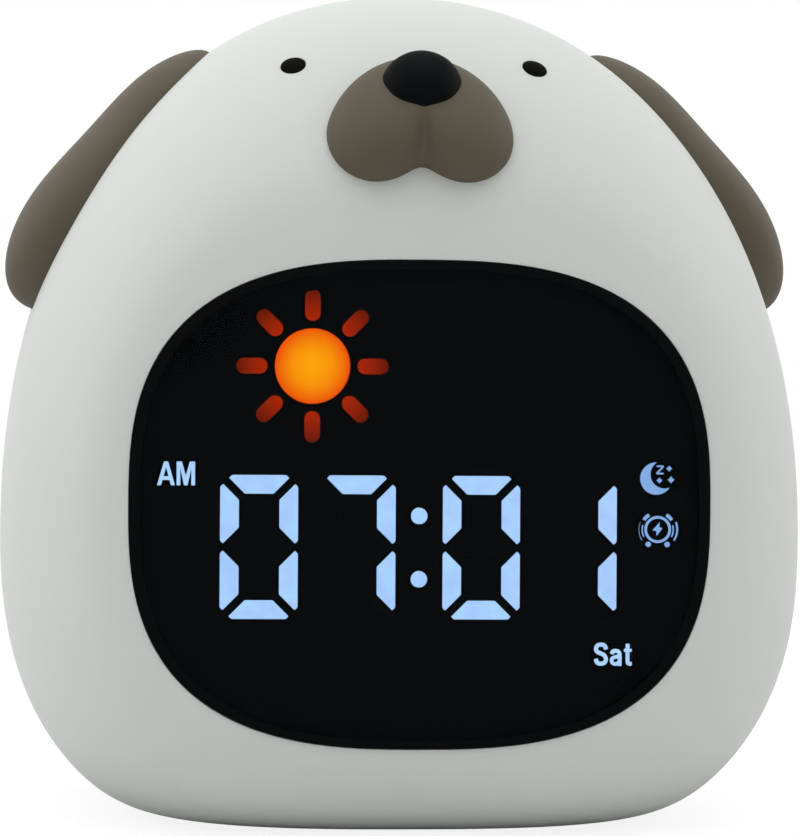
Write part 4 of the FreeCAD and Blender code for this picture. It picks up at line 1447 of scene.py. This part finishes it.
@dataclass
class Display:
    """The dark lens and the lit figures behind it."""

    form: BodyForm
    nodes: dict[str, bpy.types.Object]
    guide_face: float = -2.6 * MM
    ink: float = 0.05 * MM
    sun_place: Point = (-15.5 * MM, 19.8 * MM)
    sun_radius: float = 5.4 * MM
    ray_reach: float = 10.8 * MM
    morning_place: Point = (-35.0 * MM, 4.3 * MM)
    day_place: Point = (28.2 * MM, -21.45 * MM)
    word_height: float = 3.4 * MM
    moon_place: Point = (34.35 * MM, 3.9 * MM)
    moon_radius: float = 2.34 * MM
    moon_bite: float = 0.874
    moon_shift: Point = (0.511, 0.261)
    moon_steps: int = 30
    bell_place: Point = (34.6 * MM, -3.45 * MM)
    bell_radius: float = 1.76 * MM
    bell_pen: float = 0.38 * MM
    gong_radius: float = 2.45 * MM
    gong_pen: float = 0.5 * MM
    gong_angles: tuple[int, int] = (31, 56)
    leg_place: Point = (1.38 * MM, -2.16 * MM)
    leg_radius: float = 0.4 * MM
    wave_fall: float = 6.0
    waves: tuple[tuple[float, int, float], ...] = ((2.27 * MM, 22, 0.19 * MM), (2.85 * MM, 28, 0.26 * MM))

    def build(self) -> dict[str, bpy.types.Object]:
        """Build the lit words and icons.

        Returns:
            The pieces by name.
        """
        bright, glow = Paint.WORD.value.material(), Paint.ICON.value.material()
        top = self.guide_face + self.ink / 2
        made = {}
        for name, text, place in (
            ("morning_mark", "AM", self.morning_place),
            ("day_mark", "Sat", self.day_place),
        ):
            plane = self.form.front_matrix() @ Matrix.Translation((*place, top))
            made[name] = Lettering(self.word_height, self.ink).word(name, text, plane, bright)
        made["snooze_mark"] = self._moon(glow, top)
        made["alarm_mark"] = self._alarm(glow, top)
        return made

    def _moon(self, glow: bpy.types.Material, top: float) -> bpy.types.Object:
        """Draw the crescent with its small letter and stars.

        Args:
            glow: The lit material.
            top: The drawing's height over the lens's plane.

        Returns:
            The piece's object.
        """
        drawing = FlatDrawing(self.ink)
        x, y = self.moon_place
        outer, inner = self.moon_radius, self.moon_radius * self.moon_bite
        shift = Vector(self.moon_shift) * self.moon_radius
        far = shift.length
        half = math.acos((outer**2 + far**2 - inner**2) / (2 * outer * far))
        facing = math.atan2(shift.y, shift.x)
        count = self.moon_steps
        back = [facing + half + (2 * math.pi - 2 * half) * k / count for k in range(count + 1)]
        lift = math.acos((inner**2 + far**2 - outer**2) / (2 * inner * far))
        bite = [facing + math.pi + lift * (1 - 2 * k / count) for k in range(1, count)]
        points = on_circle(outer, back, x, y)
        drawing.outline(points + on_circle(inner, bite, x + shift.x, y + shift.y))
        wide, tall, pen = 0.5 * MM, 0.53 * MM, 0.24 * MM
        zx, zy = x + 0.55 * MM, y + 1.26 * MM
        zigzag = [(zx + side * wide, zy + end * tall) for side, end in ((-1, 1), (1, 1), (-1, -1), (1, -1))]
        for stroke in zip(zigzag, zigzag[1:]):
            drawing.band(list(stroke), pen)
        for sx, sy, reach in ((1.88, 1.44, 0.46), (2.16, -0.18, 0.54), (0.46, -0.28, 0.46)):
            drawing.star(x + sx * MM, y + sy * MM, reach * MM)
        place = self.form.front_matrix() @ Matrix.Translation((0, 0, top))
        return drawing.finished("snooze_mark", place, glow)

    def _alarm(self, glow: bpy.types.Material, top: float) -> bpy.types.Object:
        """Draw the ringing alarm clock.

        Args:
            glow: The lit material.
            top: The drawing's height over the lens's plane.

        Returns:
            The piece's object.
        """
        drawing = FlatDrawing(self.ink)
        x, y = self.bell_place
        drawing.ring(x, y, self.bell_radius, self.bell_pen)
        flash = [(0.26, 1.05), (-0.78, -0.15), (-0.2, -0.2), (-0.17, -0.96), (0.72, 0.22), (0.26, 0.3)]
        drawing.outline([(x + px * MM, y + py * MM) for px, py in flash])
        for side in (-1, 1):
            near, far = self.gong_angles
            drawing.arc(x, y, self.gong_radius, 90 - side * near, 90 - side * far, self.gong_pen)
            out, down = self.leg_place
            drawing.disc(x + side * out, y + down, self.leg_radius, 16)
            middle = -self.wave_fall if side > 0 else 180 + self.wave_fall
            for radius, half, pen in self.waves:
                drawing.arc(x, y, radius, middle - half, middle + half, pen)
        place = self.form.front_matrix() @ Matrix.Translation((0, 0, top))
        return drawing.finished("alarm_mark", place, glow)

    def dress(self, made: dict[str, bpy.types.Object]) -> None:
        """Place the pieces on the clock's body and give the nodes their finishes.

        Args:
            made: The pieces by name.
        """
        for name, piece in made.items():
            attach(piece, CLOCK_BODY)
            LOG.info("%s: %d faces", name, len(piece.data.polygons))
        sun = self.form.on_front(*self.sun_place, self.guide_face)
        for node, paint, reach in (
            ("sun_disc_guide", Paint.SUN, self.sun_radius),
            ("sun_ray_guides", Paint.RAY, self.ray_reach),
        ):
            glow = replace(paint.value, centre=tuple(sun), reach=reach)
            paint_node(self.nodes[node], glow.material())
        black = ("segment_mask", "unlit_segments", "indicator_guides", "lens_tape")
        paints = {Paint.DIGIT: ("lit_segments",), Paint.LENS: ("display_lens",), Paint.BLACK: black}
        paint_nodes(self.nodes, paints)


def paint_nodes(nodes: dict[str, bpy.types.Object], paints: dict[Paint, tuple[str, ...]]) -> None:
    """Give each carried-over node a material of its own finish.

    Args:
        nodes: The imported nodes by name.
        paints: The names of the nodes that take each finish.
    """
    for paint, names in paints.items():
        for name in names:
            paint_node(nodes[name], paint.value.material())
            LOG.info("%s painted %s", name, paint.name)


def paint_node(node: bpy.types.Object, material: bpy.types.Material) -> None:
    """Give a carried-over node one material in all of its slots.

    Args:
        node: The node's object.
        material: The material.
    """
    if not node.material_slots:
        node.data.materials.append(material)
    for slot in node.material_slots:
        slot.material = material


class Symbol(Enum):
    """What is printed on a button of the rear panel."""

    SET = "button_set"
    UP = "button_up"
    DOWN = "button_down"
    ALARM = "button_alarm"
    LIGHT = "button_light"


@dataclass
class RearControls:
    """The rear panel's buttons, switch and grille, and what is printed beside them."""

    nodes: dict[str, bpy.types.Object]
    panel_face: float = 41.53 * MM
    button_face: float = 42.33 * MM
    panel_height: float = 46.0 * MM
    button_rise: float = -5.5 * MM
    button_pitch: float = 11.0 * MM
    switch_place: Point = (-9.0 * MM, -15.8 * MM)
    word_height: float = 1.7 * MM
    ink: float = 0.04 * MM

    def _plane(self, across: float, rise: float, face: float) -> Matrix:
        """Return the matrix from a drawing's plane to a place of the panel, read from behind."""
        turn = Matrix(((-1, 0, 0, 0), (0, 0, 1, 0), (0, 1, 0, 0), (0, 0, 0, 1)))
        return Matrix.Translation((across, face + self.ink / 2, self.panel_height + rise)) @ turn

    def _symbol(self, symbol: Symbol, across: float, material: bpy.types.Material) -> bpy.types.Object:
        """Draw one button's symbol.

        Args:
            symbol: Which one.
            across: The button's place.
            material: The ink.

        Returns:
            The piece's object.
        """
        drawing = FlatDrawing(self.ink)
        u = 0.1 * MM
        if symbol is Symbol.SET:
            drawing.ring(0, 0, 11 * u, 3.4 * u)
            for turn in turns(0, 315, 8):
                tooth = on_circle(12 * u, [turn]) + on_circle(17 * u, [turn])
                drawing.band(tooth, 4.4 * u)
        elif symbol is Symbol.UP:
            drawing.outline([(-15 * u, -9 * u), (15 * u, -9 * u), (0, 14 * u)])
        elif symbol is Symbol.DOWN:
            drawing.outline([(-15 * u, 9 * u), (0, -14 * u), (15 * u, 9 * u)])
        elif symbol is Symbol.ALARM:
            dome = on_circle(11 * u, turns(0, 180, 16), up=2 * u)
            drawing.outline([(15 * u, -9 * u)] + dome + [(-15 * u, -9 * u)])
            drawing.disc(0, -12.5 * u, 3.4 * u, 16)
        else:
            bulb = on_circle(9.5 * u, turns(-58, 238, 26), up=4 * u)
            drawing.outline([(4.6 * u, -8 * u)] + bulb + [(-4.6 * u, -8 * u)])
            drawing.band([(-4.4 * u, -11 * u), (4.4 * u, -11 * u)], 2.6 * u)
            drawing.band([(-3 * u, -14.8 * u), (3 * u, -14.8 * u)], 2.6 * u)
        return drawing.finished(
            f"symbol_{symbol.name.lower()}",
            self._plane(across, self.button_rise, self.button_face),
            material,
        )

    def build(self) -> dict[str, tuple[bpy.types.Object, str]]:
        """Build what is printed on the buttons and beside the switch.

        Returns:
            Each piece and its body, by name.
        """
        ink = Paint.MARK.value.material()
        made = {}
        first = -(len(Symbol) - 1) / 2
        for k, symbol in enumerate(Symbol):
            piece = self._symbol(symbol, (first + k) * self.button_pitch, ink)
            made[piece.name] = (piece, symbol.value)
        across, rise = self.switch_place
        for name, text, shift in (("word_off", "OFF", -5.6 * MM), ("word_on", "ON", 5.4 * MM)):
            word = glyph(name, text, self.word_height, self.ink)
            word.data.transform(self._plane(across + shift, rise, self.panel_face))
            word.data.materials.clear()
            word.data.materials.append(ink)
            made[name] = (word, CLOCK_BODY)
        return made

    def dress(self, made: dict[str, tuple[bpy.types.Object, str]]) -> None:
        """Place the printed pieces and give the rear nodes their finishes.

        Args:
            made: Each piece and its body, by name.
        """
        for name, (piece, body) in made.items():
            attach(piece, body)
            LOG.info("%s rides on %s", name, body)
        button = Paint.BUTTON.value.material()
        for symbol in Symbol:
            paint_node(self.nodes[symbol.value], button)
        plungers = tuple(symbol.value.replace("button", "plunger") for symbol in Symbol)
        paint_nodes(self.nodes, {Paint.DARK: plungers})
        paint_nodes(
            self.nodes,
            {
                Paint.PANEL: ("rear_panel", "speaker_grille"),
                Paint.DARK: ("switch_lever", "slide_switch_body", "tact_switches", "speaker_frame"),
                Paint.STEEL: ("panel_screws", "usb_socket", "main_board_screws", "speaker_magnet"),
                Paint.BOARD: ("main_board",),
                Paint.BRASS: ("board_standoffs",),
                Paint.CONE: ("speaker_cone",),
            },
        )


@dataclass
class Base:
    """The base plate, its ringed rubber feet and its recessed cross-head screws."""

    nodes: dict[str, bpy.types.Object]
    foot_radius: float = 4.5 * MM
    foot_height: float = 2.0 * MM
    foot_across: float = 22.0 * MM
    foot_deep: float = 16.0 * MM
    tread_pitch: float = 0.9 * MM
    tread_depth: float = 0.16 * MM
    edge_step: float = 0.3 * MM
    rings: int = 27
    around: int = 64
    edge_rings: float = 3.0
    edge_rate: float = 9.0
    tread_fade: float = 24.0
    screw_places: tuple[Point, ...] = ((30, 0), (-30, 0), (0, 24), (0, -24))
    head_radius: float = 1.9 * MM
    head_height: float = 0.9 * MM
    seat: float = 2.2 * MM
    shank_radius: float = 1.0 * MM
    shank_top: float = 7.7 * MM
    cross_reach: float = 1.15 * MM
    cross_width: float = 0.5 * MM
    cross_depth: float = 0.5 * MM
    overlap: float = 0.2 * MM
    sharp_angle: float = 40.0

    def build(self) -> dict[str, bpy.types.Object]:
        """Build the feet and the screws.

        Returns:
            The pieces by the node that each stands for.
        """
        return {"rubber_feet": self._feet(), "base_screws": self._screws()}

    def _feet(self) -> bpy.types.Object:
        """Build four feet with rings moulded in their undersides, by a node tree."""
        maker = NodeTreeMaker(
            "feet",
            {
                "Radius": self.foot_radius,
                "Height": self.foot_height,
                "Across": 2 * self.foot_across,
                "Deep": 2 * self.foot_deep,
                "Tread Pitch": self.tread_pitch,
                "Tread Depth": self.tread_depth,
            },
        )
        graph = maker.graph
        sheet, place = graph.sheet(self.rings + 1, self.around + 1)
        run = (place.part("X") + 0.5) * (self.rings / (self.rings - self.edge_rings))
        turn = (place.part("Y") + 0.5) * (2 * math.pi)
        inner = run.at_most(1.0)
        edge = ((run - 1.0) * self.edge_rate).at_least(0.0).at_most(1.0)
        radius = inner * (maker.size("Radius") - self.edge_step) + edge * self.edge_step
        wave = (radius / maker.size("Tread Pitch") * (2 * math.pi)).cosine() * 0.5 + 0.5
        height = wave * maker.size("Tread Depth") * (1.0 - inner ** self.tread_fade)
        height = height + edge * maker.size("Height")
        foot = graph.bent(sheet, graph.joined(radius * turn.cosine(), radius * turn.sine(), height))
        corners = graph.node(
            "GeometryNodeMeshGrid",
            {},
            {"Size X": maker.size("Across"), "Size Y": maker.size("Deep"), "Vertices X": 2, "Vertices Y": 2},
        )
        placed = graph.node("GeometryNodeInstanceOnPoints", {}, {"Points": corners, "Instance": foot})
        return smooth(sealed(maker.make(placed, Paint.RUBBER.value.material())), self.sharp_angle)

    def _screws(self) -> bpy.types.Object:
        """Build four cross-head screws, by a node tree."""
        maker = NodeTreeMaker(
            "recessed_screws",
            {
                "Head Radius": self.head_radius,
                "Head Height": self.head_height,
                "Shank Radius": self.shank_radius,
                "Cross Reach": 2 * self.cross_reach,
                "Cross Width": self.cross_width,
                "Cross Depth": 2 * self.cross_depth,
            },
        )
        graph = maker.graph
        length = self.shank_top - self.seat
        head = graph.node(
            "GeometryNodeMeshCylinder",
            {},
            {"Vertices": 40, "Radius": maker.size("Head Radius"), "Depth": maker.size("Head Height")},
        )
        shank = graph.node(
            "GeometryNodeMeshCylinder",
            {},
            {"Vertices": 24, "Radius": maker.size("Shank Radius"), "Depth": length + self.overlap},
        )
        above = graph.shifted(shank, 0.0, 0.0, (self.head_height + length - self.overlap) / 2)
        screw = graph.node("GeometryNodeMeshBoolean", {"operation": "UNION", "solver": "EXACT"}, {})
        for part in (head, above):
            graph.tree.links.new(part.socket, screw.socket.node.inputs["Mesh 2"])
        bars = []
        thin, long = maker.size("Cross Width"), maker.size("Cross Reach")
        for wide, deep in ((thin, long), (long, thin)):
            size = graph.joined(wide, deep, maker.size("Cross Depth"))
            bar = graph.node("GeometryNodeMeshCube", {}, {"Size": size})
            bars.append(graph.shifted(bar, 0.0, 0.0, -self.head_height / 2))
        cut = graph.node(
            "GeometryNodeMeshBoolean", {"operation": "DIFFERENCE", "solver": "EXACT"}, {"Mesh 1": screw}
        )
        for bar in bars:
            graph.tree.links.new(bar.socket, cut.socket.node.inputs["Mesh 2"])
        join = graph.tree.nodes.new("GeometryNodeJoinGeometry")
        for x, y in self.screw_places:
            moved = graph.shifted(cut, x * MM, y * MM, self.seat - self.head_height / 2)
            graph.tree.links.new(moved.socket, join.inputs[0])
        piece = maker.make(Wire(graph, join.outputs[0]), Paint.STEEL.value.material())
        return smooth(piece, self.sharp_angle)

    def dress(self, made: dict[str, bpy.types.Object]) -> None:
        """Place the pieces, and give the base's nodes their finishes.

        Args:
            made: The pieces by the node that each stands for.
        """
        for node, piece in made.items():
            piece.name = "ringed_feet" if node == "rubber_feet" else "cross_head_screws"
            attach(piece, CLOCK_BODY)
            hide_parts(node)
            LOG.info("%s stands for %s", piece.name, node)
        paint_node(self.nodes["base_plate"], Paint.HOUSING.value.material())


def dress_inside(nodes: dict[str, bpy.types.Object]) -> None:
    """Give each sealed inner node its finish, which shows where the clock is cut in a drawing.

    Args:
        nodes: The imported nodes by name.
    """
    paint_nodes(
        nodes,
        {
            Paint.HOUSING: ("front_housing", "rear_housing"),
            Paint.STEEL: ("housing_screws", "display_screws", "light_screws"),
            Paint.BOARD: ("display_board", "light_board"),
            Paint.CHIP: ("display_leds", "light_leds"),
            Paint.BRASS: ("touch_contact",),
            Paint.WRAP: ("battery_cell",),
        },
    )


@dataclass
class Studio:
    """The pale floor, the soft lamps and the camera."""

    azimuth: float = math.radians(-5.5)
    elevation: float = math.radians(2.5)
    distance: float = 0.72
    roll: float = math.radians(0.6)
    lens: float = 204.3
    target: Place = (0.0008, 0.0, 0.0593)
    floor_radius: float = 1.2
    ambient: float = 0.445
    floor_pale: float = 0.82
    floor_faint: float = 0.22
    floor_lift: float = 0.86
    lamps: tuple[tuple[str, Place, float, float], ...] = (
        ("top_lamp", (0.0, -0.2, 1.3), 1.3, 8.8),
        ("left_lamp", (-1.3, 0.15, 0.7), 0.9, 4.9),
        ("right_lamp", (1.3, 0.3, 0.7), 0.9, 3.3),
    )
    aimed_at: Place = (0.0, 0.0, 0.06)

    def build(self) -> None:
        """Build the whole studio."""
        self._camera()
        self._floor()
        self._world()
        for name, place, size, power in self.lamps:
            self._lamp(name, place, size, power)

    def _camera(self) -> None:
        """Place the camera at the photograph's angle."""
        back = Vector(
            (
                math.sin(self.azimuth) * math.cos(self.elevation),
                -math.cos(self.azimuth) * math.cos(self.elevation),
                math.sin(self.elevation),
            )
        )
        level = Vector((0, 0, 1)).cross(back).normalized()
        upright = back.cross(level)
        right = level * math.cos(self.roll) + upright * math.sin(self.roll)
        up = back.cross(right)
        data = bpy.data.cameras.new("camera")
        data.lens = self.lens
        data.sensor_width = 36.0
        data.sensor_fit = "AUTO"
        camera = bpy.data.objects.new("camera", data)
        camera.matrix_world = Matrix.Translation(Vector(self.target) + back * self.distance) @ Matrix(
            (right, up, back)
        ).transposed().to_4x4()
        bpy.context.scene.collection.objects.link(camera)
        bpy.context.scene.camera = camera

    def _lamp(self, name: str, place: Place, size: float, power: float) -> None:
        """Add one soft square lamp that faces the clock.

        Args:
            name: The lamp's name.
            place: Where it hangs.
            size: Its side.
            power: Its power in watts.
        """
        data = bpy.data.lights.new(name, "AREA")
        data.shape = "SQUARE"
        data.size = size
        data.energy = power
        lamp = bpy.data.objects.new(name, data)
        lamp.location = place
        away = Vector(place) - Vector(self.aimed_at)
        lamp.rotation_euler = away.to_track_quat("Z", "Y").to_euler()
        bpy.context.scene.collection.objects.link(lamp)

    def _floor(self) -> None:
        """Add a pale round floor that keeps the clock's shadow."""
        made, graph = new_material("pale_floor")
        pale, faint = (
            graph.node("ShaderNodeBsdfDiffuse", {}, {"Color": (grey, grey, grey, 1.0)})
            for grey in (self.floor_pale, self.floor_faint)
        )
        lift = graph.node("ShaderNodeEmission", {}, {"Color": WHITE, "Strength": self.floor_lift})
        lifted = graph.node("ShaderNodeAddShader", {}, {0: faint, 1: lift})
        seen = graph.node("ShaderNodeLightPath").part("Is Camera Ray")
        surface = graph.node("ShaderNodeMixShader", {}, {0: seen, 1: pale, 2: lifted})
        graph.node("ShaderNodeOutputMaterial", {}, {"Surface": surface})
        shape = bmesh.new()
        bmesh.ops.create_circle(shape, cap_ends=True, segments=96, radius=self.floor_radius)
        bmesh.ops.recalc_face_normals(shape, faces=shape.faces)
        add_mesh("floor", shape, made)

    def _world(self) -> None:
        """Light the scene evenly, with a white background where it is seen or mirrored."""
        world = bpy.data.worlds.new("studio")
        world.use_nodes = True
        world.node_tree.nodes.clear()
        graph = Graph(world.node_tree)
        path = graph.node("ShaderNodeLightPath")
        seen = (path.part("Is Camera Ray") + path.part("Is Glossy Ray")).at_most(1.0)
        seen = (seen + path.part("Is Transmission Ray")).at_most(1.0)
        strength = seen * (1.0 - self.ambient) + self.ambient
        light = graph.node("ShaderNodeBackground", {}, {"Color": WHITE, "Strength": strength})
        graph.node("ShaderNodeOutputWorld", {}, {"Surface": light})
        bpy.context.scene.world = world
        bpy.context.scene.view_settings.view_transform = "Standard"


def dress_body(form: BodyForm, nodes: dict[str, bpy.types.Object]) -> None:
    """Build the skin, face and ears, and set them for their nodes.

    Args:
        form: The body's form.
        nodes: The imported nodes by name.
    """
    shell = Skin(form).build()
    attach(shell, CLOCK_BODY)
    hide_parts("silicone_skin")
    LOG.info("skin: %d faces", len(shell.data.polygons))
    for node, piece in Face(form).build().items():
        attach(piece, CLOCK_BODY)
        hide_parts(node)
        LOG.info("%s stands for %s", piece.name, node)
    for node in ("eye_left", "eye_right"):
        paint_node(nodes[node], Paint.EYE.value.material())


def main() -> None:
    """Build the clock's looks and the studio, in order."""
    logging.basicConfig(level=logging.INFO, format="%(message)s")
    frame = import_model()
    nodes = frame["nodes"]
    form = BodyForm()
    Studio().build()
    dress_body(form, nodes)
    display = Display(form, nodes)
    display.dress(display.build())
    controls = RearControls(nodes)
    controls.dress(controls.build())
    base = Base(nodes)
    base.dress(base.build())
    dress_inside(nodes)


if __name__ == "__main__":
    main()
